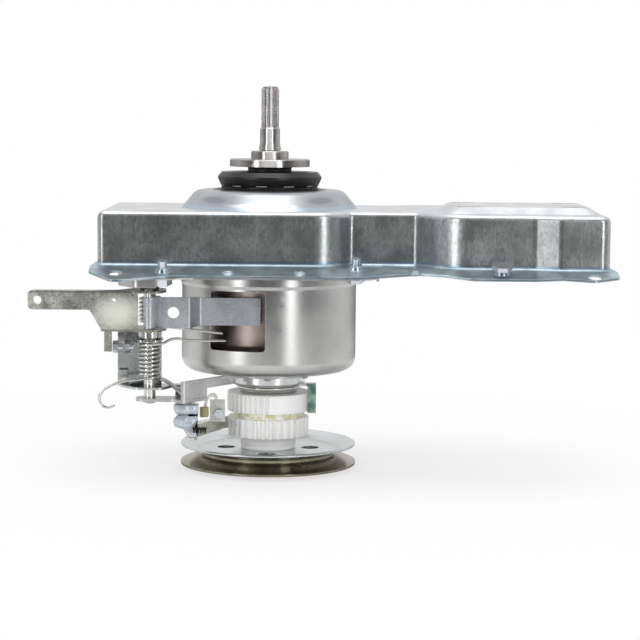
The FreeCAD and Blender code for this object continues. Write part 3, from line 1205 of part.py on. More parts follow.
def with_tangents(points, first=None, last=None):
    """Give each point of a route the direction halfway between its neighbours'."""
    nodes = []
    count = len(points)
    for index in range(count):
        ahead = points[min(index + 1, count - 1)].sub(points[min(index, count - 2)]).normalize()
        back = points[max(index, 1)].sub(points[max(index - 1, 0)]).normalize()
        nodes.append((points[index], ahead.add(back).normalize()))
    if first is not None:
        nodes[0] = (nodes[0][0], first)
    if last is not None:
        nodes[-1] = (nodes[-1][0], last)
    return nodes


def make_springs():
    start = -90.0
    front = PIVOT_Y - SPRING_R
    turns = coil_nodes(PIVOT, SPRING_R, SPRING_PITCH, LOWER_TURNS, LOWER_SPRING_TOP, start, -1)
    top = LOWER_SPRING_TOP
    upper_leg = [V(-27.0, front + 6.6, top + 2.4), V(-51.0, front + 3.0, top + 3.0),
                 V(-61.0, front + 1.2, top + 4.0),
                 V(-68.0, front + 0.3, top + 1.2), turns[0][0]]
    foot = turns[-1][0]
    lower_leg = [foot, foot + V(-8.0, 0.0, -1.2), foot + V(-16.0, 0.0, -2.0), foot + V(-25.5, 0.0, -5.4),
                 foot + V(-30.6, 0.0, -9.0), foot + V(-32.6, 0.0, -13.4), foot + V(-30.4, 0.0, -18.4),
                 foot + V(-26.8, 0.0, -19.6), foot + V(-22.6, 0.0, -18.2)]
    nodes = with_tangents(upper_leg, last=turns[0][1])[:-1] + turns
    nodes += with_tangents(lower_leg, first=turns[-1][1])[1:]
    keep("brake_torsion_spring", tube(nodes, SPRING_WIRE_R))
    turns = coil_nodes(PIVOT, SPRING_R, SPRING_PITCH, UPPER_TURNS, UPPER_SPRING_TOP, start, 1)
    foot = turns[-1][0]
    leg = [foot, foot + V(9.0, 0.2, -2.4), foot + V(26.0, 2.6, -4.9), foot + V(48.0, 6.4, -7.9)]
    nodes = turns + with_tangents(leg, first=turns[-1][1])[1:]
    keep("lever_spring", tube(nodes, SPRING_WIRE_R))
    coil_r = SPIN_BOSS_R + 0.1 + CLUTCH_WIRE_R
    turns = coil_nodes(V(0, 0, 0), coil_r, CLUTCH_PITCH, CLUTCH_TURNS, SLEEVE_TOP - 3.4, 0.0, 1)
    keep("clutch_spring", tube(turns, CLUTCH_WIRE_R))
    for name, radius, pitch, count, wire in (
            ("brake torsion spring", SPRING_R, SPRING_PITCH, LOWER_TURNS, SPRING_WIRE_R),
            ("lever spring", SPRING_R, SPRING_PITCH, UPPER_TURNS, SPRING_WIRE_R),
            ("clutch spring", coil_r, CLUTCH_PITCH, CLUTCH_TURNS, CLUTCH_WIRE_R),
            ("pawl spring", PAWL_SPRING_R, PAWL_SPRING_PITCH, PAWL_SPRING_TURNS, PAWL_WIRE_R)):
        print(name, "least gap between turns: %.2f mm" % coil_gap(radius, pitch, count, wire))


def make_pawl_lever():
    t = LEVER_SHEET
    back = PAWL_WEB_Y + t
    web = box(PAWL_WEB_LEFT, PAWL_WEB_RIGHT, PAWL_WEB_Y, back, PAWL_LEVER_FOOT - t, PAWL_LEVER_TOP + 3.6)
    front = PIVOT_Y - 9.0
    ear = [(PIVOT_X - 9.0, front, 5.0), (PIVOT_X + 8.0, front, 5.0), (PIVOT_X + 8.0, back, 1.0),
           (PIVOT_X - 9.0, back, 1.0)]
    upper_ear = slab(ear, PAWL_LEVER_TOP - t, PAWL_LEVER_TOP)
    arm_x = PAWL_PIN_X - 3.0
    low = [(PAWL_WEB_LEFT + 2.0, PAWL_WEB_Y - 4.0, 2.0), (PIVOT_X - 9.0, front, 5.0),
           (PIVOT_X + 9.0, front, 5.0),
           (PIVOT_X + 16.0, PAWL_WEB_Y - 3.0, 4.0), (arm_x, PAWL_WEB_Y - 2.0, 2.0),
           (arm_x, PAWL_WEB_Y + 5.0, 2.0),
           (PAWL_WEB_LEFT + 2.0, back, 0.5)]
    lower_ear = slab(low, PAWL_LEVER_FOOT - t, PAWL_LEVER_FOOT)
    finger_y = PAWL_WEB_Y + 3.5
    finger = box(arm_x - 8.0, arm_x - 1.0, finger_y - t, finger_y, PAWL_TOP - 6.0, PAWL_LEVER_FOOT)
    stop_flange = box(STOP_FLANGE_X - t, STOP_FLANGE_X, STOP_Y - 5.0, back, STOP_Z - 5.0, STOP_Z + 5.0)
    hook = box(PAWL_WEB_LEFT + 1.0, PAWL_WEB_LEFT + 7.0, PAWL_WEB_Y - 3.5, PAWL_WEB_Y, -144.0, -138.5)
    body = union([web, upper_ear, lower_ear, finger, stop_flange, hook])
    bore = rod(PIVOT_R + PIN_FIT, PAWL_LEVER_FOOT - 5, PAWL_LEVER_TOP + 5, PIVOT_X, PIVOT_Y)
    tap = Part.makeCylinder(STOP_R, 10, V(STOP_FLANGE_X - 5, STOP_Y, STOP_Z), V(1, 0, 0))
    keep("pawl_lever", body.cut(bore).cut(tap))


def make_stop():
    face = TAB_X + TAB_W + 0.6
    head = hexagon(STOP_HEX, 0, 3.4)
    head = shifted(turned(head, 90, axis=V(0, 1, 0)), face, STOP_Y, STOP_Z)
    shank = Part.makeCylinder(STOP_R, STOP_FLANGE_X + 5.0 - face, V(face, STOP_Y, STOP_Z), V(1, 0, 0))
    keep("stop_screw", union([head, shank]))
    nut = shifted(turned(hexagon(STOP_HEX, 0, 2.8), 90, axis=V(0, 1, 0)), STOP_FLANGE_X, STOP_Y, STOP_Z)
    keep("stop_nut", nut.cut(shank))


def make_bracket():
    t = BRACKET_SHEET
    low = BRACKET_FOOT - t
    top = CASE_FOOT - CUP_SHEET
    reach = COVER_FLANGE_R - 1.0
    end_x = -reach * math.cos(math.radians(45.0))
    length = math.hypot(end_x - BRACKET_CORNER_X, end_x - BRACKET_CORNER_Y)
    heading = math.degrees(math.atan2(end_x - BRACKET_CORNER_Y, end_x - BRACKET_CORNER_X))
    wall = box(0, length, 0, t, low, top)
    wall = shifted(turned(wall, heading), BRACKET_CORNER_X, BRACKET_CORNER_Y)
    notch = box(length * 0.45, length + 30, -5, t + 5, low - 1, BRACKET_FOOT + 6.0)
    wall = wall.cut(shifted(turned(notch, heading), BRACKET_CORNER_X, BRACKET_CORNER_Y))
    arm = slab([(PIVOT_X - 9.0, PIVOT_Y - 7.0, 5.0), (BRACKET_CORNER_X - 6.0, PIVOT_Y - 8.0, 6.0),
                (BRACKET_CORNER_X, BRACKET_CORNER_Y, 0.8), (PAWL_PIN_X + 11.0, PAWL_PIN_Y + 2.0, 1.0),
                (PAWL_PIN_X + 3.0, PAWL_PIN_Y + 6.0, 3.0), (PIVOT_X - 9.0, PIVOT_Y + 7.0, 5.0)],
               low, BRACKET_FOOT)
    collar = ring(COVER_FLANGE_R, COVER_R, top - t, top)
    gusset = slab([(end_x - 9.0, end_x - 12.0, 1.0), (end_x + 6.0, end_x - 4.0, 1.0),
                   (end_x + 2.0, end_x + 6.0, 1.0), (end_x - 6.0, end_x - 1.0, 1.0)], top - t, top)
    gusset = gusset.cut(rod(COVER_R, top - t - 1, top + 1))
    body = union([wall, arm, collar, gusset])
    holes = [rod(COVER_BOSS_R - 0.6, top - 4, top + 1, x, y) for x, y in cover_bosses()]
    holes.append(rod(PIVOT_R, low - 1, BRACKET_FOOT + 1, PIVOT_X, PIVOT_Y))
    holes.append(rod(PAWL_PIN_R, low - 1, BRACKET_FOOT + 1, PAWL_PIN_X, PAWL_PIN_Y))
    keep("support_bracket", body.cut(Part.makeCompound(holes)))


def make_pawl():
    low = PAWL_TOP - PAWL_H - 2.0
    pin_head = BRACKET_FOOT
    keep("pawl_pin", union([
        rod(PAWL_PIN_R, low - 1.2, pin_head, PAWL_PIN_X, PAWL_PIN_Y),
        Part.makeCone(PAWL_PIN_R + 1.2, PAWL_PIN_R - 0.4, 1.2, V(PAWL_PIN_X, PAWL_PIN_Y, pin_head)),
        rod(PAWL_PIN_R + 1.6, low - 2.2, low - 0.4, PAWL_PIN_X, PAWL_PIN_Y)]))
    x = PAWL_PIN_X
    y = PAWL_PIN_Y
    hub = rod(PAWL_PIN_R + PAWL_HUB_WALL, low, PAWL_TOP, x, y)
    tip_r = SLEEVE_LOWER_R + PAWL_TEETH_GAP
    tip = polar(tip_r, math.radians(PAWL_TIP_ANGLE))
    beak = [(x - 4.5, y + 1.0, 3.0), (x + 3.0, y - 5.0, 3.0), (tip.x - 4.0, tip.y - 6.0, 1.0),
            (tip.x, tip.y, 0.3), (tip.x - 5.0, tip.y + 1.0, 0.8)]
    blade = slab(beak, low, low + PAWL_BLADE_H)
    left = x - PAWL_SHIELD_LEFT
    right = x + PAWL_SHIELD_RIGHT
    front = y - PAWL_SHIELD_FRONT
    back = y + PAWL_TOP_BACK
    shield = box(left, right, front, front + PAWL_SHEET, low + 1.0, PAWL_TOP)
    top = slab([(left, front, 0.8), (right, front, 0.8), (right, back, PAWL_TOP_BACK),
                (x - PAWL_SHIELD_RIGHT, back, PAWL_TOP_BACK)],
               PAWL_TOP - PAWL_SHEET, PAWL_TOP)
    body = union([hub, blade, shield, top])
    keep("pawl", body.cut(rod(PAWL_PIN_R + PIN_FIT, low - 1, PAWL_TOP + 1, x, y)))
    plate_x = x + PAWL_PLATE_X
    plate_y = y + PAWL_PLATE_Y
    plate_low = low + PAWL_BLADE_H
    plate = box(plate_x, plate_x + PAWL_PLATE_W, plate_y, plate_y + PAWL_SHEET,
                plate_low, PAWL_TOP + PAWL_PLATE_OVER)
    foot = box(plate_x, plate_x + PAWL_PLATE_FOOT, plate_y, plate_y + PAWL_PLATE_FOOT,
               plate_low, plate_low + PAWL_SHEET)
    screw_x = plate_x + PAWL_SCREW_X
    screw_z = PAWL_TOP - PAWL_SCREW_DROP
    hole = Part.makeCylinder(PAWL_SCREW_R, 4, V(screw_x, plate_y - 1, screw_z), V(0, 1, 0))
    keep("pawl_plate", plate.fuse(foot).cut(hole).removeSplitter())
    head = hexagon(PAWL_SCREW_HEX, 0, PAWL_SCREW_HEAD_H)
    head = shifted(turned(head, 90, axis=V(1, 0, 0)), screw_x, plate_y, screw_z)
    shank = Part.makeCylinder(PAWL_SCREW_R, PAWL_SCREW_L, V(screw_x, plate_y - 1, screw_z), V(0, 1, 0))
    keep("pawl_screw", union([head, shank]))
    clip = arc_band(CLIP_IN_R, CLIP_OUT_R, 0, CLIP_W, CLIP_FROM, CLIP_TO)
    clip = turned(clip, 90, axis=V(1, 0, 0))
    clip = shifted(clip, plate_x - CLIP_LEFT, plate_y + CLIP_BACK, PAWL_TOP - CLIP_DROP)
    keep("pawl_clip", clip)
    axis_y = front - PAWL_SPRING_R - PAWL_WIRE_R - PAWL_SPRING_GAP
    turns = coil_nodes(V(0, 0, 0), PAWL_SPRING_R, PAWL_SPRING_PITCH, PAWL_SPRING_TURNS, 0.0, 0.0, 1)
    coil = turned(tube(turns, PAWL_WIRE_R), -90, axis=V(0, 1, 0))
    keep("pawl_spring", shifted(coil, x + PAWL_SPRING_X, axis_y, low + PAWL_SPRING_UP))


make_base_plate()
make_brake_case()
make_screws()
make_seal()
make_bearing("upper_bearing", UPPER_BEARING_TOP, UPPER_BEARING_W)
make_bearing("lower_bearing", LOWER_BEARING_TOP, LOWER_BEARING_W)
make_bearing_seats()
make_tub_shaft()
make_drum()
make_brake()
make_gears()
make_pulsator()
make_sleeve()
make_pulley()
make_pins()
make_brake_lever()
make_strap()
make_springs()
make_pawl_lever()
make_stop()
make_bracket()
make_pawl()

for name, shape in NODES.items():
    if not shape.isValid():
        print("not valid:", name)
    shape.exportStep("parts/%s.step" % name)
print(len(NODES), "nodes")
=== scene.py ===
import json
import math
import bmesh
import bpy
from mathutils import Matrix, Vector


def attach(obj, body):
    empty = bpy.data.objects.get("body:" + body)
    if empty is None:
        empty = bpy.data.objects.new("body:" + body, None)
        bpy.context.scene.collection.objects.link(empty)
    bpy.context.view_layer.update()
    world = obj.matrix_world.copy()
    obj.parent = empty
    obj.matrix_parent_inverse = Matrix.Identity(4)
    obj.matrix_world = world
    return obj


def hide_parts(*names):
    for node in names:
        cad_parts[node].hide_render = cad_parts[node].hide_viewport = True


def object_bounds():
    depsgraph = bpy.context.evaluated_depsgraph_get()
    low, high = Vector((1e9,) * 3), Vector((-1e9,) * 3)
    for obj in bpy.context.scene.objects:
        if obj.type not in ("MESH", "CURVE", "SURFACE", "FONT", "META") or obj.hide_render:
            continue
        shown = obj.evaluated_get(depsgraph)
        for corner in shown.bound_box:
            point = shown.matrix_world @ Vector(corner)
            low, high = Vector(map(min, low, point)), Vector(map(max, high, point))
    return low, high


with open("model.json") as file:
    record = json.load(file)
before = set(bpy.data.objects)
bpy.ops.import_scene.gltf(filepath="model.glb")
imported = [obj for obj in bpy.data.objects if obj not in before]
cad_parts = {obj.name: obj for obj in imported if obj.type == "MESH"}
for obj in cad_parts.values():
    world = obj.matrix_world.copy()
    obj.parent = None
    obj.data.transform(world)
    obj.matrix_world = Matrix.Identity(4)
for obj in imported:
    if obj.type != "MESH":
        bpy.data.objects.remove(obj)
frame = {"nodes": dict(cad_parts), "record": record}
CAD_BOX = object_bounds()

NODES = frame["nodes"]
scene = bpy.context.scene
MM = 0.001

# Heights at which the looks change, in metres from the part's origin
FLANGE_BLEND = (-0.0645, -0.0665)
FOOT_LINE = (-0.0662, -0.0652)
GREEN_BAND = (-0.062, -0.047)
DOME_LEVEL = (-0.0330, -0.0322)
DOME_FOOT_LINE = (-0.0322, -0.0308)
# Painted shade lines on the lever: a shadow under its upper flange and a dark line along its foot
LEVER_TOP_SHADOW_LINE = (-0.0857, -0.0847)
LEVER_FOOT_SHADE_LINE = (-0.1108, -0.1100)
SLEEVE_WAIST = -0.1725
SLEEVE_WAIST_HALF = 0.0014
# Level of the painted highlights around the seal
SEAL_HIGHLIGHT_LEVEL = (-0.0178, -0.0174)

# Places along X at which they change
# Where the painted highlight on the wall's arm begins
ARM_HIGHLIGHT_BLEND = (0.108, 0.118)
COVER_TAB = (0.0255, 0.0265)
# Painted highlights along the bends of the strap and the bracket
STRAP_FOLD_HIGHLIGHTS = (-0.0503, -0.0436)
BRACKET_FOLD_HIGHLIGHTS = (-0.0533,)
FOLD_HALF_WIDTH = 0.0003

# Distances from the upright axis at which they change
DOME_EDGE = (0.0600, 0.0590)
# Where the painted shade in the shaft's splines lies, and none
SPLINE_GROOVE_SHADE = (0.0048, 0.0058)
NO_GROOVE_SHADE = (0.0, 0.0001)

# Painted ovals of shade and of highlight: the middle in X and Z, and half the size
DOME_PAINTED_SHADES = ((-0.0355, -0.0262), (0.0345, -0.0262))
DOME_PAINTED_SHADE_SIZE = (0.0100, 0.0026)
DOME_PAINTED_HIGHLIGHT = (-0.004, -0.0295)
DOME_PAINTED_HIGHLIGHT_SIZE = (0.026, 0.0018)
LEVER_PAINTED_HIGHLIGHT = (-0.0965, -0.0985)
LEVER_PAINTED_HIGHLIGHT_SIZE = (0.017, 0.013)

# Painted highlights around the seal; the offset is half of one, and whole ones that keep the count above
# nought
SEAL_HIGHLIGHTS = 11
SEAL_HIGHLIGHT_OFFSET = 40.5
SEAL_HIGHLIGHT_SHARE = (0.32, 0.68)

# How deep red, green and blue light enters the white plastic
PLASTIC_DEPTH = (0.002, 0.0015, 0.001)

# The scene's own pieces, with lengths in millimetres
BEVEL_ANGLE = math.radians(35)
ROUND_SEGMENTS = 96
STRIP_STEPS = 6

SKIRT_OUTER = 18.6
SKIRT_INNER = 15.5
SKIRT_TOP = -193.0
SKIRT_FOOT = -196.8
SKIRT_CHAMFER = 0.6
SKIRT_SMOOTH_SIDE = 1                   # the outer wall is the second side of the profile

ARCH_THICK = 1.6
ARCH_DEPTH = 9.0
ARCH_EDGE = 0.4
ARCH_PATH = (
    (-91.0, -44.0, -147.2), (-84.0, -44.0, -145.9), (-77.0, -44.0, -144.8), (-71.0, -45.0, -144.6),
    (-65.0, -48.0, -146.6), (-59.5, -54.0, -149.8), (-54.6, -60.0, -153.0))

HOOK_THICK = 1.9
HOOK_DEPTH = 5.5
HOOK_EDGE = 0.5
HOOK_PATH = (
    (-41.2, -37.2, -165.6), (-40.7, -37.2, -161.0), (-39.3, -37.2, -157.8), (-36.8, -37.2, -156.2),
    (-34.6, -37.2, -156.8), (-33.8, -37.2, -158.8))

PAWL_CUTS = (
    # a place on the plane, the direction of what is cut away
    ((-53.0, -54.0, -170.0), (0, -1, 0)),
    ((-57.2, -50.0, -170.0), (-1, 0, 0)),
    ((-54.6, -50.0, -176.0), (-0.75, 0, -0.66)))

SHIELD_ROWS = (
    # height, left edge, right edge, front face
    (-159.6, -60.2, -44.6, -54.6), (-160.6, -60.8, -44.3, -55.6), (-163.4, -60.6, -44.4, -55.9),
    (-165.6, -59.6, -44.6, -55.2), (-166.8, -58.6, -44.8, -53.9), (-168.0, -59.4, -45.0, -54.9),
    (-169.6, -60.8, -45.3, -56.0), (-172.2, -60.9, -45.9, -55.9), (-174.4, -60.2, -46.8, -55.2),
    (-175.4, -58.0, -47.2, -54.2), (-176.6, -54.4, -46.4, -54.6), (-179.4, -52.6, -45.6, -54.8),
    (-181.6, -51.4, -45.0, -54.2))
SHIELD_STEPS = 3
SHIELD_COLUMNS = 10
SHIELD_THICK = 1.3
SHIELD_EDGE = 0.3
LEFT_WRAP = 1.6                         # how far the left edge bends back
LEFT_WRAP_SHARE = 0.16                  # and over which share of the width
RIGHT_WRAP = 0.8
RIGHT_WRAP_SHARE = 0.14
PANEL_DEPTH = 0.55                      # the pressed panel between the lobes
PANEL_SHARE = (0.52, 0.82)
PANEL_LEVEL = (-171.5, -161.0)

BUSH_RADIUS = 3.0
BUSH_HEIGHT = 6.6
BUSH_EDGE = 0.5
BUSH_MIDDLE = (-41.6, -38.8, -166.9)

# The photograph's view: pixels, millimetres of sensor, metres and degrees
IMAGE_PIXELS = 640.0
FOCAL_PIXELS = 2030.0
SENSOR_WIDTH = 36.0
CAMERA_PLACE = (0.03475, -1.3729, 0.0344)
CAMERA_PITCH = 5.96
CAMERA_ROLL = 0.5
CAMERA_FAR = 20.0

# The stage, in metres
LIGHT_TARGET = (0.02, 0, -0.08)
FLOOR_RADIUS = 0.62
FLOOR_GAP = 0.0005
FLOOR_FADE = (0.10, 0.42)
WHITE = (1, 1, 1, 1)

# The studio's light: two directions along an axis, and the light at each
FRONT_TO_BACK = (-0.95, 0.35, 0.05, 0.80)
FAR_BACK = (0.55, 0.98, 0.0, 0.62)
BELOW = (-0.02, 0.03, 1.0, 0.0)
OVERHEAD = (0.05, 0.7, 0.0, 0.2)
EVEN_LIGHT = 0.72


def with_alpha(color):
    """A colour of three numbers with its alpha, or an output as it is."""
    return color if hasattr(color, "is_linked") else (*color, 1.0)


class Tree:
    """Short calls for a node tree."""

    def __init__(self, tree):
        self.tree = tree
        self.tree.nodes.clear()

    def add(self, kind, **settings):
        """New node, with its settings."""
        node = self.tree.nodes.new(kind)
        for key, value in settings.items():
            setattr(node, key, value)
        return node

    def put(self, socket, value):
        """Link an output to the socket, or write a number there."""
        if hasattr(value, "is_linked"):
            self.tree.links.new(value, socket)
        else:
            socket.default_value = value

    def math(self, op, a, b=0.0):
        """One sum on numbers or outputs."""
        node = self.add("ShaderNodeMath", operation=op)
        self.put(node.inputs[0], a)
        self.put(node.inputs[1], b)
        return node.outputs["Value"]

    def plus(self, a, b):
        return self.math("ADD", a, b)

    def times(self, a, b):
        return self.math("MULTIPLY", a, b)

    def ramp(self, value, low, high, a=0.0, b=1.0, kind="LINEAR"):
        """From a at the low value to b at the high value, level beyond them."""
        node = self.add("ShaderNodeMapRange", interpolation_type=kind, clamp=True)
        self.put(node.inputs["Value"], value)
        for key, number in (("From Min", low), ("From Max", high), ("To Min", a), ("To Max", b)):
            node.inputs[key].default_value = number
        return node.outputs["Result"]

    def split(self, vector, name):
        """One part of a vector, by the axis's name."""
        node = self.add("ShaderNodeSeparateXYZ")
        self.put(node.inputs[0], vector)
        return node.outputs[name]

    def pick(self, share, a, b):
        """Shader a where the share is nought and b where it is one."""
        node = self.add("ShaderNodeMixShader")
        self.put(node.inputs["Fac"], share)
        self.put(node.inputs[1], a)
        self.put(node.inputs[2], b)
        return node.outputs["Shader"]


class Graph(Tree):
    """One material's node tree."""

    def __init__(self, name):
        self.mat = bpy.data.materials.new(name)
        self.mat.use_nodes = True
        super().__init__(self.mat.node_tree)
        self.out = self.add("ShaderNodeOutputMaterial")
        self.place = self.add("ShaderNodeTexCoord").outputs
        self.coord = self.place["Object"]

    def scaled(self, x, y, z):
        """Place on the object, squeezed along each axis."""
        node = self.add("ShaderNodeMapping")
        self.put(node.inputs["Vector"], self.coord)
        node.inputs["Scale"].default_value = (x, y, z)
        return node.outputs["Vector"]

    def axis(self, name):
        """Place along one of the piece's axes."""
        return self.split(self.coord, name)

    def facing(self, name):
        """How far the surface faces along one of the piece's axes."""
        return self.split(self.place["Normal"], name)

    def across(self):
        """Distance from the upright axis."""
        node = self.add("ShaderNodeVectorMath", operation="LENGTH")
        self.put(node.inputs[0], self.scaled(1.0, 1.0, 0.0))
        return node.outputs["Value"]

    def rings(self, scale):
        """Vector that changes only with the distance from the upright axis."""
        node = self.add("ShaderNodeCombineXYZ")
        self.put(node.inputs["X"], self.times(self.across(), scale))
        return node.outputs["Vector"]

    def noise(self, scale, detail=4.0, rough=0.55, vector=None):
        """Clouds between nought and one, smaller for a larger scale."""
        node = self.add("ShaderNodeTexNoise")
        self.put(node.inputs["Vector"], vector or self.coord)
        node.inputs["Scale"].default_value = scale
        node.inputs["Detail"].default_value = detail
        node.inputs["Roughness"].default_value = rough
        return node.outputs["Fac"]

    def cells(self, scale):
        """Distance to the nearest of many scattered points."""
        node = self.add("ShaderNodeTexVoronoi")
        self.put(node.inputs["Vector"], self.coord)
        node.inputs["Scale"].default_value = scale
        return node.outputs["Distance"]

    def away(self, middle, size):
        """Nought at the middle of an oval in X and Z, one at its edge, more beyond it."""
        squares = []
        for name, place, reach in zip("XZ", middle, size):
            share = self.math("DIVIDE", self.math("SUBTRACT", self.axis(name), place), reach)
            squares.append(self.math("POWER", share, 2.0))
        return self.plus(*squares)

    def spot(self, middle, size):
        """One at the middle of an oval in X and Z, falling to nought at its edge."""
        return self.ramp(self.away(middle, size), 0.3, 1.0, 1.0, 0.0)

    def zone(self, value, ends, soft):
        """One between the two ends, nought outside, with soft ends."""
        low, high = ends
        rise = self.ramp(value, low - soft, low)
        return self.times(rise, self.ramp(value, high, high + soft, 1.0, 0.0))

    def mix(self, share, a, b):
        """Colour a where the share is nought and b where it is one."""
        node = self.add("ShaderNodeMix", data_type="RGBA")
        self.put(node.inputs["Factor"], share)
        self.put(node.inputs["A"], with_alpha(a))
        self.put(node.inputs["B"], with_alpha(b))
        return node.outputs["Result"]

    def bump(self, height, strength, depth, edge=None):
        """Normal with a relief of the given depth, softened at edges where a radius is given."""
        node = self.add("ShaderNodeBump")
        self.put(node.inputs["Height"], height)
        node.inputs["Strength"].default_value = strength
        node.inputs["Distance"].default_value = depth
        if edge is not None:
            soft = self.add("ShaderNodeBevel", samples=4)
            soft.inputs["Radius"].default_value = edge
            self.put(node.inputs["Normal"], soft.outputs["Normal"])
        return node.outputs["Normal"]

    def shader(self, color, metallic, roughness, normal=None, **more):
        """Surface shader; further inputs are named with underscores for spaces."""
        node = self.add("ShaderNodeBsdfPrincipled")
        self.put(node.inputs["Base Color"], with_alpha(color))
        self.put(node.inputs["Metallic"], metallic)
        self.put(node.inputs["Roughness"], roughness)
        if normal is not None:
            self.put(node.inputs["Normal"], normal)
        for key, value in more.items():
            self.put(node.inputs[key.replace("_", " ")], value)
        return node.outputs["BSDF"]

    def show(self, shader):
        """Give the material this shader."""
        self.put(self.out.inputs["Surface"], shader)
        return self.mat

    def surface(self, *values, **more):
        """The material with a surface shader of these values."""
        return self.show(self.shader(*values, **more))


def darker(color, share=0.5):
    """The colour times a share of its light."""
    return tuple(share * part for part in color)


def metal(name, light, dark, rough, grain, patch, stretch=(1, 1, 1), bump=0.06, tint=None):
    """Plated or bare steel: faint grain and scratches, broad patches, soft edges, at times stains.

    The stretch squeezes the grain along each axis, so a small number draws it out into lines.
    """
    g = Graph(name)
    along = g.scaled(*stretch)
    fine = g.noise(grain, 3.0, 0.6, along)
    broad = g.noise(patch, 4.0, 0.5)
    scratch = g.noise(grain * 0.35, 2.0, 0.5, along)
    color = g.mix(g.ramp(broad, 0.36, 0.64), dark, light)
    color = g.mix(g.ramp(fine, 0.5, 0.8, 0.0, 0.16), color, darker(dark, 0.55))
    if tint is not None:
        color = g.mix(g.ramp(g.noise(30.0, 3.0), 0.45, 0.65, 0.0, 0.6), color, tint)
    grit = g.plus(g.times(fine, 0.4), g.times(broad, 0.6))
    roughness = g.ramp(grit, 0.35, 0.65, *rough)
    return g.surface(color, 1.0, roughness, g.bump(g.plus(fine, scratch), bump, 0.00003, 0.0005))


def rubber(name, light, dark, rough):
    """Rubber or matt plastic: fine grain and broad paler patches."""
    g = Graph(name)
    fine = g.noise(1600.0, 3.0)
    broad = g.noise(60.0, 5.0)
    color = g.mix(g.ramp(broad, 0.4, 0.65), dark, light)
    roughness = g.ramp(broad, 0.35, 0.65, *rough)
    return g.surface(color, 0.0, roughness, g.bump(fine, 0.15, 0.00004))


def white_plastic():
    """White plastic with thin smears of yellowed grease."""
    g = Graph("white_plastic")
    fine = g.noise(900.0, 3.0)
    grease = g.noise(120.0, 4.0, 0.6)
    color = g.mix(g.ramp(grease, 0.5, 0.7, 0.0, 0.5), (0.86, 0.86, 0.83), (0.76, 0.75, 0.60))
    return g.surface(color, 0.0, g.ramp(grease, 0.4, 0.6, 0.32, 0.5), g.bump(fine, 0.08, 0.00003),
                     Subsurface_Weight=0.08, Subsurface_Radius=PLASTIC_DEPTH)


def plate_look():
    """Pressed zinc-plated sheet: brushed walls, satin upper faces painted paler as painted light, a satin
    dome with painted shade and highlights, bluish flange and foot line.
    """
    g = Graph("plate_zinc")
    z = g.axis("Z")
    cloud = g.noise(48.0, 5.0, 0.62, g.scaled(1.0, 1.0, 0.7))
    streak = g.noise(1500.0, 3.0, 0.65, g.scaled(1.0, 1.0, 0.035))
    color = plate_wall(g, z, cloud, streak)
    # Painted light: faces that look up get a paler colour than the walls
    painted_top_light = g.ramp(g.facing("Z"), 0.35, 0.85)
    high = g.mix(g.ramp(cloud, 0.4, 0.62), (0.60, 0.61, 0.64), (0.72, 0.73, 0.75))
    color = g.mix(painted_top_light, color, high)
    dome = g.times(g.ramp(g.across(), *DOME_EDGE), g.ramp(z, *DOME_LEVEL))
    # The dome's colour carries painted shade and a painted highlight
    color = g.mix(dome, color, dome_satin_with_painted_light(g, z))
    low = g.mix(g.ramp(g.noise(70.0, 4.0), 0.42, 0.6), (0.34, 0.42, 0.47), (0.50, 0.58, 0.62))
    color = g.mix(g.ramp(z, *FLANGE_BLEND), color, low)
    color = g.mix(g.times(g.zone(z, FOOT_LINE, 0.0005), 0.7), color, (0.26, 0.38, 0.52))
    roughness = g.plus(g.ramp(cloud, 0.35, 0.65, 0.28, 0.34), g.times(painted_top_light, 0.05))
    relief = g.plus(g.times(streak, 0.8), g.noise(330.0, 4.0, 0.65))
    return g.surface(color, 1.0, roughness, g.bump(relief, 0.14, 0.00005, 0.0009))


def plate_wall(g, z, cloud, streak):
    """Brushed walls: upright streaks, with more pale ones on the arm as a painted highlight, dark flecks
    and greenish clouds.
    """
    wide_streak = g.noise(260.0, 3.0, 0.6, g.scaled(1.0, 1.0, 0.06))
    fleck = g.noise(620.0, 5.0, 0.7, g.scaled(1.0, 1.0, 0.45))
    patch = g.ramp(g.noise(85.0, 4.0, 0.6, g.scaled(1.0, 1.0, 0.8)), 0.50, 0.62, 0.0, 0.45)
    green = g.times(g.zone(z, GREEN_BAND, 0.006), g.ramp(g.noise(90.0, 3.0), 0.5, 0.66, 0.0, 0.6))
    # The pale streaks are scratches; their larger share on the arm is a painted highlight
    bright = g.ramp(g.axis("X"), *ARM_HIGHLIGHT_BLEND, 0.22, 0.5)
    color = g.mix(g.ramp(cloud, 0.34, 0.66), (0.44, 0.455, 0.465), (0.56, 0.575, 0.58))
    color = g.mix(g.times(g.ramp(streak, 0.42, 0.66), bright), color, (0.78, 0.79, 0.79))
    color = g.mix(g.ramp(wide_streak, 0.55, 0.72, 0.0, 0.35), color, (0.22, 0.235, 0.235))
    color = g.mix(g.ramp(fleck, 0.46, 0.66, 0.0, 0.62), color, (0.20, 0.21, 0.215))
    color = g.mix(g.ramp(g.noise(560.0, 4.0, 0.7), 0.54, 0.70, 0.0, 0.5), color, (0.84, 0.85, 0.85))
    color = g.mix(patch, color, (0.30, 0.315, 0.32))
    return g.mix(green, color, (0.40, 0.48, 0.44))


def dome_satin_with_painted_light(g, z):
    """Satin dome: a bluish line at its foot, painted shade in two dark ovals and a painted highlight in a
    bright one on its front.
    """
    color = g.mix(g.ramp(g.noise(30.0, 3.0), 0.4, 0.6), (0.39, 0.41, 0.44), (0.48, 0.495, 0.52))
    color = g.mix(g.times(g.zone(z, DOME_FOOT_LINE, 0.001), 0.6), color, (0.46, 0.56, 0.66))
    for middle in DOME_PAINTED_SHADES:
        color = g.mix(g.times(g.spot(middle, DOME_PAINTED_SHADE_SIZE), 0.75), color, (0.25, 0.28, 0.31))
    return g.mix(g.times(g.spot(DOME_PAINTED_HIGHLIGHT, DOME_PAINTED_HIGHLIGHT_SIZE), 0.7), color, (0.82, 0.83, 0.84))


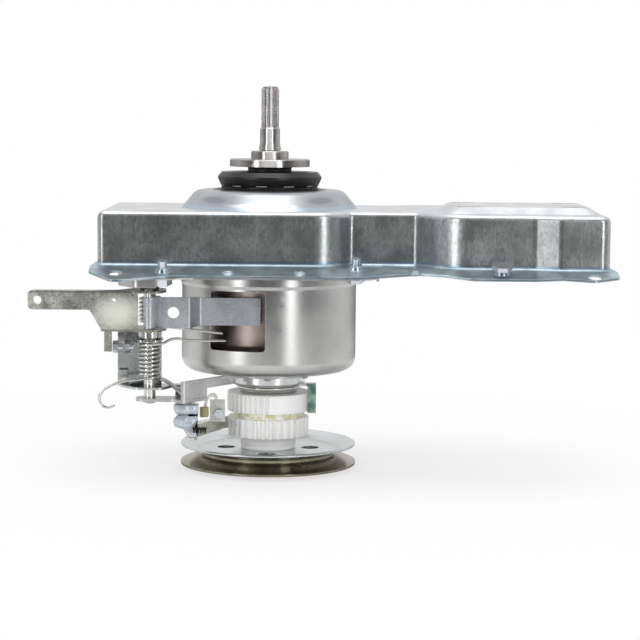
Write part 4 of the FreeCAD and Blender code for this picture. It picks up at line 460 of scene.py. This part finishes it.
def shaft_look(name, light, dark, groove_shade=NO_GROOVE_SHADE):
    """Shaft steel with fine lines along it, a painted highlight where it faces front and back, painted
    shade deep in its splines.
    """
    g = Graph(name)
    # Painted highlight: faces that look to the front or back are painted pale and less metallic
    painted_highlight = g.ramp(g.math("ABSOLUTE", g.facing("Y")), 0.93, 0.995)
    fine = g.noise(700.0, 2.0, 0.5, g.scaled(1.0, 1.0, 0.12))
    cloud = g.noise(70.0, 3.0, 0.5)
    color = g.mix(g.ramp(cloud, 0.36, 0.64), dark, light)
    color = g.mix(g.ramp(fine, 0.48, 0.7, 0.0, 0.25), color, darker(dark))
    color = g.mix(g.times(painted_highlight, 0.85), color, (0.90, 0.89, 0.88))
    # Painted shade: near black close to the axis, deep in the splines
    color = g.mix(g.ramp(g.across(), *groove_shade, 0.9, 0.0), color, (0.05, 0.045, 0.045))
    metallic = g.ramp(painted_highlight, 0.0, 1.0, 1.0, 0.35)
    roughness = g.ramp(cloud, 0.35, 0.65, 0.16, 0.30)
    return g.surface(color, metallic, roughness, g.bump(fine, 0.05, 0.00002, 0.0003))


def case_look():
    """Drawn steel can: fine lines around it, lighter and warmer patches."""
    g = Graph("case_drawn")
    fine = g.noise(1100.0, 3.0, 0.6, g.scaled(0.25, 0.25, 1.0))
    cloud = g.noise(26.0, 4.0, 0.55)
    color = g.mix(g.ramp(cloud, 0.36, 0.64), (0.50, 0.50, 0.495), (0.64, 0.635, 0.62))
    color = g.mix(g.ramp(fine, 0.5, 0.75, 0.0, 0.18), color, (0.34, 0.34, 0.34))
    roughness = g.ramp(cloud, 0.35, 0.65, 0.27, 0.36)
    return g.surface(color, 1.0, roughness, g.bump(fine, 0.05, 0.00003, 0.0008))


def lever_look():
    """Pale zinc plate with dark and cream flecks, a painted highlight on its front and painted shade lines
    at its rims.
    """
    g = Graph("lever_zinc")
    z = g.axis("Z")
    cloud = g.noise(75.0, 5.0, 0.62)
    fine = g.noise(700.0, 4.0, 0.6)
    color = g.mix(g.ramp(cloud, 0.36, 0.64), (0.47, 0.48, 0.44), (0.70, 0.71, 0.66))
    color = g.mix(g.ramp(fine, 0.46, 0.66, 0.0, 0.7), color, (0.20, 0.205, 0.18))
    color = g.mix(g.ramp(g.noise(480.0, 4.0, 0.7), 0.53, 0.66, 0.0, 0.55), color, (0.92, 0.93, 0.88))
    color = g.mix(g.ramp(g.cells(260.0), 0.05, 0.25, 0.35, 0.0), color, (0.86, 0.87, 0.82))
    # Painted highlight: a pale, less metallic glow on the front of the lever
    away = g.away(LEVER_PAINTED_HIGHLIGHT, LEVER_PAINTED_HIGHLIGHT_SIZE)
    glow = g.ramp(g.plus(away, g.times(cloud, 0.8)), 0.45, 1.5, 0.92, 0.0)
    color = g.mix(glow, color, (0.88, 0.90, 0.80))
    # Painted shade: a shadow line under the upper flange and a dark line along the foot
    shade_lines = g.math("MAXIMUM", g.zone(z, LEVER_TOP_SHADOW_LINE, 0.0004), g.zone(z, LEVER_FOOT_SHADE_LINE, 0.0005))
    color = g.mix(g.times(shade_lines, 0.6), color, (0.20, 0.20, 0.15))
    metallic = g.ramp(glow, 0.0, 1.0, 0.93, 0.40)
    roughness = g.ramp(cloud, 0.35, 0.65, 0.26, 0.42)
    relief = g.plus(cloud, g.times(fine, 0.3))
    return g.surface(color, metallic, roughness, g.bump(relief, 0.22, 0.00015, 0.0007))


def folded_look(name, light, dark, tint, rough=(0.16, 0.28), metallic=1.0, wavy=0.5,
                fold_highlights=(), speckle=0.45):
    """Thin folded sheet: plating that waves a little, with bright specks and painted highlights as bright
    lines along its bends.
    """
    g = Graph(name)
    wave = g.noise(55.0, 3.0, 0.5, g.scaled(1.0, 1.0, 0.5))
    fine = g.noise(800.0, 3.0, 0.6)
    color = g.mix(g.ramp(wave, 0.36, 0.64), dark, light)
    color = g.mix(g.ramp(g.noise(120.0, 4.0), 0.5, 0.68, 0.0, 0.6), color, tint)
    color = g.mix(g.ramp(fine, 0.50, 0.72, 0.0, 0.4), color, darker(dark))
    color = g.mix(g.ramp(g.noise(520.0, 4.0, 0.7), 0.53, 0.66, 0.0, speckle), color, (0.90, 0.91, 0.92))
    # Painted highlight: a pale, less metallic line along each bend
    for fold in fold_highlights:
        ends = (fold - FOLD_HALF_WIDTH, fold + FOLD_HALF_WIDTH)
        line = g.zone(g.axis("X"), ends, FOLD_HALF_WIDTH)
        color = g.mix(g.times(line, 0.8), color, (0.97, 0.98, 0.99))
        metallic = g.math("SUBTRACT", metallic, g.times(line, 0.5))
    roughness = g.ramp(fine, 0.35, 0.65, *rough)
    return g.surface(color, metallic, roughness, g.bump(wave, wavy, 0.0004, 0.0006))


def pulley_look(name, light, dark, stain, strength):
    """Pressed pulley disc: turned rings and cloudy plating under a broken stain."""
    g = Graph(name)
    cloud = g.noise(45.0, 5.0, 0.6)
    rings = g.noise(1.0, 2.0, 0.5, g.rings(1400.0))
    color = g.mix(g.ramp(cloud, 0.36, 0.64), dark, light)
    color = g.mix(g.ramp(rings, 0.45, 0.7, 0.0, 0.25), color, darker(dark))
    color = g.mix(g.times(g.ramp(g.noise(70.0, 4.0), 0.35, 0.6, 0.4, 1.0), strength), color, stain)
    roughness = g.ramp(cloud, 0.35, 0.65, 0.16, 0.30)
    return g.surface(color, 1.0, roughness, g.bump(rings, 0.08, 0.00004, 0.0006))


def sleeve_look():
    """White moulded plastic with grease in the waist and a few black specks."""
    g = Graph("sleeve_plastic")
    smear = g.noise(240.0, 4.0, 0.6)
    ends = (SLEEVE_WAIST - SLEEVE_WAIST_HALF, SLEEVE_WAIST + SLEEVE_WAIST_HALF)
    grease = g.times(g.zone(g.axis("Z"), ends, 0.0012), g.ramp(smear, 0.40, 0.58))
    speck = g.times(g.math("LESS_THAN", g.cells(190.0), 0.085), g.ramp(g.noise(70.0, 2.0), 0.56, 0.60))
    color = g.mix(g.ramp(g.noise(60.0, 3.0), 0.4, 0.6), (0.90, 0.90, 0.885), (0.94, 0.94, 0.93))
    color = g.mix(grease, color, (0.66, 0.64, 0.36))
    color = g.mix(speck, color, (0.03, 0.03, 0.03))
    roughness = g.ramp(smear, 0.4, 0.6, 0.28, 0.42)
    return g.surface(color, 0.0, roughness, g.bump(smear, 0.06, 0.00003, 0.0005),
                     Subsurface_Weight=0.1, Subsurface_Radius=PLASTIC_DEPTH)


def seal_look():
    """Glossy black rubber with eleven pale marks around it, just above its foot: painted highlights."""
    g = Graph("seal_rubber")
    turn = g.times(g.math("ARCTAN2", g.axis("Y"), g.axis("X")), SEAL_HIGHLIGHTS / math.tau)
    share = g.math("FRACT", g.plus(turn, SEAL_HIGHLIGHT_OFFSET))
    # Painted highlights: pale marks in a ring just above the seal's foot
    seal_highlight = g.times(g.zone(share, SEAL_HIGHLIGHT_SHARE, 0.03), g.zone(g.axis("Z"), SEAL_HIGHLIGHT_LEVEL, 0.0002))
    cloud = g.noise(70.0, 4.0)
    color = g.mix(g.ramp(cloud, 0.4, 0.65), (0.003, 0.003, 0.003), (0.010, 0.010, 0.011))
    color = g.mix(g.times(seal_highlight, 0.7), color, (0.50, 0.50, 0.51))
    roughness = g.ramp(cloud, 0.35, 0.65, 0.30, 0.44)
    return g.surface(color, 0.0, roughness, g.bump(g.noise(1500.0, 3.0), 0.08, 0.00003))


def cover_look():
    """Pressed bearing cover: bright zinc, with the bent tab at the right in dark green."""
    g = Graph("cover_zinc")
    cloud = g.noise(60.0, 4.0, 0.6)
    fine = g.noise(900.0, 3.0, 0.6)
    color = g.mix(g.ramp(cloud, 0.38, 0.62), (0.54, 0.55, 0.55), (0.76, 0.77, 0.77))
    green = g.mix(g.ramp(g.noise(150.0, 4.0), 0.4, 0.62), (0.12, 0.20, 0.17), (0.34, 0.44, 0.38))
    color = g.mix(g.ramp(g.axis("X"), *COVER_TAB), color, green)
    roughness = g.ramp(fine, 0.35, 0.65, 0.16, 0.28)
    return g.surface(color, 1.0, roughness, g.bump(cloud, 0.25, 0.0003, 0.0006))


METALS = {
    "case_steel": dict(light=(0.70, 0.70, 0.69), dark=(0.60, 0.60, 0.59), rough=(0.30, 0.42),
                       grain=1300.0, patch=22.0, stretch=(1, 1, 0.5), bump=0.08),
    "zinc_blue": dict(light=(0.74, 0.78, 0.82), dark=(0.58, 0.62, 0.67), rough=(0.20, 0.34),
                      grain=1100.0, patch=60.0),
    "polished_steel": dict(light=(0.80, 0.79, 0.77), dark=(0.66, 0.65, 0.63), rough=(0.12, 0.24),
                           grain=900.0, patch=90.0, stretch=(1, 1, 8)),
    "bearing_steel": dict(light=(0.76, 0.76, 0.76), dark=(0.66, 0.66, 0.66), rough=(0.10, 0.2),
                          grain=900.0, patch=90.0),
    "bronze": dict(light=(0.56, 0.42, 0.22), dark=(0.36, 0.25, 0.12), rough=(0.35, 0.55),
                   grain=1700.0, patch=80.0),
    "drum_steel": dict(light=(0.50, 0.43, 0.40), dark=(0.34, 0.28, 0.26), rough=(0.28, 0.5),
                       grain=600.0, patch=40.0, stretch=(1, 1, 6)),
    "spring_steel": dict(light=(0.60, 0.60, 0.62), dark=(0.45, 0.45, 0.48), rough=(0.2, 0.4),
                         grain=900.0, patch=60.0),
    "gear_steel": dict(light=(0.60, 0.60, 0.60), dark=(0.44, 0.44, 0.44), rough=(0.25, 0.42),
                       grain=900.0, patch=70.0),
    "pulley_zinc": dict(light=(0.72, 0.74, 0.72), dark=(0.55, 0.57, 0.55), rough=(0.16, 0.30),
                        grain=900.0, patch=40.0, tint=(0.56, 0.56, 0.46)),
    "black_steel": dict(light=(0.06, 0.06, 0.055), dark=(0.02, 0.02, 0.02), rough=(0.3, 0.5),
                        grain=900.0, patch=60.0),
}
# Looks of the slots, for the nodes that have no look of their own
MATS = {name: metal(name, **look) for name, look in METALS.items()}
MATS["black_rubber"] = rubber("black_rubber", (0.030, 0.030, 0.031), (0.014, 0.014, 0.015), (0.45, 0.65))
MATS["friction_lining"] = rubber("friction_lining", (0.34, 0.26, 0.22), (0.22, 0.16, 0.13), (0.6, 0.8))
MATS["white_plastic"] = white_plastic()

# Looks of single nodes, and of the scene's own pieces that have no node
NODE_LOOKS = {
    "base_plate": plate_look(),
    "brake_case": case_look(),
    "brake_lever": lever_look(),
    "pulley_upper_half": pulley_look("pulley_upper", (0.74, 0.77, 0.79), (0.56, 0.59, 0.61),
                                     stain=(0.55, 0.57, 0.52), strength=0.3),
    "pulley_lower_half": pulley_look("pulley_lower", (0.46, 0.46, 0.38), (0.28, 0.28, 0.22),
                                     stain=(0.24, 0.21, 0.14), strength=0.7),
    "band_strap": folded_look("strap_zinc", (0.66, 0.69, 0.73), (0.46, 0.49, 0.54), (0.52, 0.55, 0.62),
                              rough=(0.28, 0.42), metallic=0.88, wavy=0.3, fold_highlights=STRAP_FOLD_HIGHLIGHTS),
    "support_bracket": folded_look("bracket_zinc", (0.60, 0.60, 0.60), (0.46, 0.46, 0.46),
                                   (0.54, 0.55, 0.54), rough=(0.26, 0.36), metallic=0.92, wavy=0.25,
                                   fold_highlights=BRACKET_FOLD_HIGHLIGHTS, speckle=0.12),
    "pawl_lever": folded_look("pawl_lever_zinc", (0.70, 0.73, 0.70), (0.34, 0.37, 0.36),
                              (0.48, 0.56, 0.56)),
    "pawl": folded_look("pawl_zinc", (0.76, 0.76, 0.70), (0.50, 0.50, 0.44), (0.56, 0.57, 0.42)),
    "pawl_plate": folded_look("pawl_plate_zinc", (0.74, 0.75, 0.72), (0.50, 0.51, 0.48),
                              (0.58, 0.58, 0.50), rough=(0.30, 0.44), metallic=0.75, wavy=0.3),
    "pawl_shield": folded_look("shield_zinc", (0.70, 0.75, 0.81), (0.48, 0.53, 0.58),
                               (0.58, 0.66, 0.78), rough=(0.34, 0.46), metallic=0.7, wavy=0.35),
    "pawl_bush": rubber("olive_plastic", (0.42, 0.40, 0.20), (0.26, 0.24, 0.12), (0.3, 0.45)),
    "pawl_clip": rubber("clip_plastic", (0.86, 0.86, 0.83), (0.74, 0.74, 0.70), (0.3, 0.45)),
    "ratchet_sleeve": sleeve_look(),
    "water_seal": seal_look(),
    "pulsator_shaft": shaft_look("spline_steel", (0.56, 0.53, 0.52), (0.36, 0.34, 0.34), SPLINE_GROOVE_SHADE),
    "tub_shaft": shaft_look("hub_steel", (0.46, 0.45, 0.44), (0.26, 0.25, 0.245)),
    "lower_bearing_cover": cover_look(),
    "clutch_hub": metal("hub_bronze", (0.40, 0.38, 0.24), (0.26, 0.24, 0.14), rough=(0.35, 0.5),
                        grain=1500.0, patch=60.0),
}
SLOT_OF = {part["node"]: part["material_slot"] for part in frame["record"]["subparts"]}
for node_name, node in NODES.items():
    node.data.materials.clear()
    node.data.materials.append(NODE_LOOKS.get(node_name) or MATS[SLOT_OF[node_name]])


def new_piece(name, build, look, body):
    """A visible piece of the scene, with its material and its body."""
    mesh = bpy.data.meshes.new(name)
    bmesh.ops.recalc_face_normals(build, faces=build.faces)
    build.to_mesh(mesh)
    build.free()
    obj = bpy.data.objects.new(name, mesh)
    scene.collection.objects.link(obj)
    mesh.materials.append(look)
    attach(obj, body)
    return obj


def rounded(obj, width, segments):
    """Bevel on the piece's sharper edges, its width in millimetres."""
    bevel = obj.modifiers.new("bevel", "BEVEL")
    bevel.width = width * MM
    bevel.segments = segments
    bevel.angle_limit = BEVEL_ANGLE


def skin(build, rows):
    """Join equal rows of points into a closed skin with flat ends."""
    loops = [[build.verts.new(Vector(point) * MM) for point in row] for row in rows]
    count = len(loops[0])
    for first, second in zip(loops, loops[1:]):
        for k in range(count):
            after = (k + 1) % count
            build.faces.new((first[k], first[after], second[after], second[k]))
    build.faces.new(list(reversed(loops[0])))
    build.faces.new(loops[-1])


def smooth_path(points, steps):
    """Points along a curve through the given points."""
    result = []
    for i in range(len(points) - 1):
        before = Vector(points[max(i - 1, 0)])
        start = Vector(points[i])
        end = Vector(points[i + 1])
        after = Vector(points[min(i + 2, len(points) - 1)])
        for k in range(steps):
            t = k / steps
            line = 2 * start + (end - before) * t
            bend = (2 * before - 5 * start + 4 * end - after) * t ** 2
            twist = (3 * start - before - 3 * end + after) * t ** 3
            result.append(0.5 * (line + bend + twist))
    result.append(Vector(points[-1]))
    return result


def sheet_strip(points, thick, depth):
    """Strip of sheet that follows a curve; each point has its front Y and the strip runs back from it."""
    build = bmesh.new()
    path = smooth_path(points, STRIP_STEPS)
    back = Vector((0, depth, 0))
    rows = []
    for i, spot in enumerate(path):
        ahead = (path[min(i + 1, len(path) - 1)] - path[max(i - 1, 0)]).normalized()
        normal = Vector((-ahead.z, 0, ahead.x)).normalized() * thick / 2
        rows.append([spot + normal, spot - normal, spot - normal + back, spot + normal + back])
    skin(build, rows)
    return build


def make_sleeve_skirt():
    """Short white collar under the ratchet sleeve, around the bronze hub."""
    build = bmesh.new()
    profile = ((SKIRT_INNER, SKIRT_TOP), (SKIRT_OUTER, SKIRT_TOP),
               (SKIRT_OUTER, SKIRT_FOOT + SKIRT_CHAMFER), (SKIRT_OUTER - SKIRT_CHAMFER, SKIRT_FOOT),
               (SKIRT_INNER, SKIRT_FOOT))
    rings = []
    for k in range(ROUND_SEGMENTS):
        a = math.tau * k / ROUND_SEGMENTS
        ring = [Vector((r * math.cos(a), r * math.sin(a), z)) for r, z in profile]
        rings.append([build.verts.new(point * MM) for point in ring])
    for here, there in zip(rings, rings[1:] + rings[:1]):
        for j in range(len(profile)):
            n = (j + 1) % len(profile)
            face = build.faces.new((here[j], there[j], there[n], here[n]))
            face.smooth = j == SKIRT_SMOOTH_SIDE
    new_piece("sleeve_skirt", build, NODE_LOOKS["ratchet_sleeve"], "sleeve")


def make_bracket_arch():
    """Upper strip of the bracket: from behind the pivot it arches down to the folded wall."""
    build = sheet_strip(ARCH_PATH, ARCH_THICK, ARCH_DEPTH)
    obj = new_piece("bracket_arch", build, NODE_LOOKS["support_bracket"], "root")
    rounded(obj, ARCH_EDGE, 2)


def make_pawl_hook():
    """White plastic hook over the pawl's plate."""
    build = sheet_strip(HOOK_PATH, HOOK_THICK, HOOK_DEPTH)
    obj = new_piece("pawl_hook", build, NODE_LOOKS["pawl_clip"], "pawl_body")
    rounded(obj, HOOK_EDGE, 3)
    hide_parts("pawl_clip")


def cut_copy(node_name, cuts):
    """The node's own form less what lies beyond each plane of a place and a direction."""
    build = bmesh.new()
    build.from_mesh(NODES[node_name].data)
    bmesh.ops.remove_doubles(build, verts=build.verts, dist=1e-6)
    for place, away in cuts:
        everything = build.verts[:] + build.edges[:] + build.faces[:]
        bmesh.ops.bisect_plane(build, geom=everything, dist=1e-7, plane_co=Vector(place) * MM,
                               plane_no=Vector(away), clear_outer=True)
        open_edges = [edge for edge in build.edges if edge.is_boundary]
        bmesh.ops.holes_fill(build, edges=open_edges, sides=0)
    return build


def make_pawl_blade():
    """The pawl without its front, its left side and the left corner of its foot."""
    obj = new_piece("pawl_blade", cut_copy("pawl", PAWL_CUTS), NODE_LOOKS["pawl"], "pawl_body")
    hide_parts("pawl")


def shield_relief(t, z):
    """How far the shield's front lies behind its face line, t being the share of its width."""
    wrap = LEFT_WRAP * max(0.0, 1.0 - t / LEFT_WRAP_SHARE) ** 2
    wrap += RIGHT_WRAP * max(0.0, (t - 1.0 + RIGHT_WRAP_SHARE) / RIGHT_WRAP_SHARE) ** 2
    pressed = PANEL_SHARE[0] < t < PANEL_SHARE[1] and PANEL_LEVEL[0] < z < PANEL_LEVEL[1]
    return wrap + (PANEL_DEPTH if pressed else 0.0)


def make_pawl_shield():
    """Folded and pressed shield of the pawl, with two rounded lobes and a narrow foot."""
    build = bmesh.new()
    edges = smooth_path([row[:3] for row in SHIELD_ROWS], SHIELD_STEPS)
    faces = smooth_path([(row[0], row[3], 0.0) for row in SHIELD_ROWS], SHIELD_STEPS)
    rows = []
    for (z, left, right), face in zip(edges, faces):
        front = []
        for k in range(SHIELD_COLUMNS + 1):
            t = k / SHIELD_COLUMNS
            front.append((left + (right - left) * t, face.y + shield_relief(t, z), z))
        back = [(x, y + SHIELD_THICK, z) for x, y, z in front]
        rows.append(front + back[::-1])
    skin(build, rows)
    obj = new_piece("pawl_shield", build, NODE_LOOKS["pawl_shield"], "pawl_body")
    rounded(obj, SHIELD_EDGE, 2)


def make_pawl_bush():
    """Olive plastic bush, behind the shield and to its right."""
    build = bmesh.new()
    bmesh.ops.create_cone(build, cap_ends=True, segments=24, radius1=BUSH_RADIUS * MM,
                          radius2=BUSH_RADIUS * MM, depth=BUSH_HEIGHT * MM,
                          matrix=Matrix.Translation(Vector(BUSH_MIDDLE) * MM))
    obj = new_piece("pawl_bush", build, NODE_LOOKS["pawl_bush"], "pawl_body")
    rounded(obj, BUSH_EDGE, 3)


make_sleeve_skirt()
make_pawl_hook()
make_bracket_arch()
make_pawl_blade()
make_pawl_shield()
make_pawl_bush()


def light_panel(name, azimuth, height, distance, wide, tall, power):
    """Softbox at a compass angle from the front, aimed at the gearbox."""
    data = bpy.data.lights.new(name, "AREA")
    data.shape = "RECTANGLE"
    data.size = wide
    data.size_y = tall
    data.energy = power
    obj = bpy.data.objects.new(name, data)
    scene.collection.objects.link(obj)
    a = math.radians(azimuth)
    place = Vector((math.sin(a) * distance, -math.cos(a) * distance, height))
    obj.location = place
    obj.rotation_euler = (Vector(LIGHT_TARGET) - place).to_track_quat("-Z", "Y").to_euler()


def glow(tree, level):
    """White light of a given level, for the world's tree."""
    node = tree.add("ShaderNodeBackground")
    node.inputs["Color"].default_value = WHITE
    tree.put(node.inputs["Strength"], level)
    return node.outputs["Background"]


def make_world():
    """The studio: white to the camera, a graded sweep in reflections, even light elsewhere."""
    world = bpy.data.worlds.new("studio")
    scene.world = world
    world.use_nodes = True
    w = Tree(world.node_tree)
    out = w.add("ShaderNodeOutputWorld")
    ray = w.add("ShaderNodeLightPath").outputs
    way = w.add("ShaderNodeTexCoord").outputs["Generated"]
    y = w.split(way, "Y")
    z = w.split(way, "Z")
    sweep = w.ramp(y, *FRONT_TO_BACK, "SMOOTHSTEP")
    low_back = w.times(w.ramp(y, *FAR_BACK, "SMOOTHSTEP"), w.ramp(z, *BELOW, "SMOOTHSTEP"))
    level = w.plus(w.math("SUBTRACT", sweep, low_back), w.ramp(z, *OVERHEAD, "SMOOTHSTEP"))
    mirrored = w.math("MAXIMUM", ray["Is Glossy Ray"], ray["Is Transmission Ray"])
    inner = w.pick(mirrored, glow(w, EVEN_LIGHT), glow(w, level))
    w.put(out.inputs["Surface"], w.pick(ray["Is Camera Ray"], inner, glow(w, 1.0)))


def floor_look():
    """Pale floor that fades to plain white away from the object, as the camera sees it."""
    g = Graph("floor")
    color = g.mix(g.ramp(g.noise(200.0, 2.0), 0.4, 0.6), (0.86, 0.86, 0.86), (0.90, 0.90, 0.90))
    white = g.add("ShaderNodeEmission")
    white.inputs["Color"].default_value = WHITE
    white.inputs["Strength"].default_value = 1.0
    seen = g.add("ShaderNodeLightPath").outputs["Is Camera Ray"]
    fade = g.ramp(g.across(), *FLOOR_FADE, 0.70, 1.0)
    return g.show(g.pick(g.times(seen, fade), g.shader(color, 0.0, 0.9), white.outputs["Emission"]))


def make_floor():
    """Pale disc under the object that keeps its shadow near it."""
    mesh = bpy.data.meshes.new("floor")
    build = bmesh.new()
    bmesh.ops.create_circle(build, cap_ends=True, segments=ROUND_SEGMENTS, radius=FLOOR_RADIUS)
    for vert in build.verts:
        vert.co.z = CAD_BOX[0][2] - FLOOR_GAP
    build.to_mesh(mesh)
    build.free()
    obj = bpy.data.objects.new("floor", mesh)
    scene.collection.objects.link(obj)
    mesh.materials.append(floor_look())


def make_camera():
    """Camera with the photograph's view: pitched down, and rolled a little."""
    data = bpy.data.cameras.new("camera")
    data.sensor_width = SENSOR_WIDTH
    data.lens = SENSOR_WIDTH * FOCAL_PIXELS / IMAGE_PIXELS
    data.clip_end = CAMERA_FAR
    obj = bpy.data.objects.new("camera", data)
    scene.collection.objects.link(obj)
    pitch = math.radians(CAMERA_PITCH)
    roll = math.radians(CAMERA_ROLL)
    ahead = Vector((0, math.cos(pitch), -math.sin(pitch)))
    side = Vector((1, 0, 0))
    above = side.cross(ahead)
    right = side * math.cos(roll) + above * math.sin(roll)
    up = above * math.cos(roll) - side * math.sin(roll)
    turn = Matrix((right, up, -ahead)).transposed()
    obj.matrix_world = Matrix.Translation(Vector(CAMERA_PLACE)) @ turn.to_4x4()
    scene.camera = obj


light_panel("soft_left", azimuth=-38, height=0.30, distance=1.7, wide=0.30, tall=1.3, power=7.0)
light_panel("soft_right", azimuth=30, height=0.30, distance=1.7, wide=0.26, tall=1.3, power=6.5)
light_panel("soft_top", azimuth=0, height=1.9, distance=0.25, wide=1.6, tall=1.2, power=15.0)
make_world()
make_floor()
make_camera()
scene.view_settings.view_transform = "Standard"
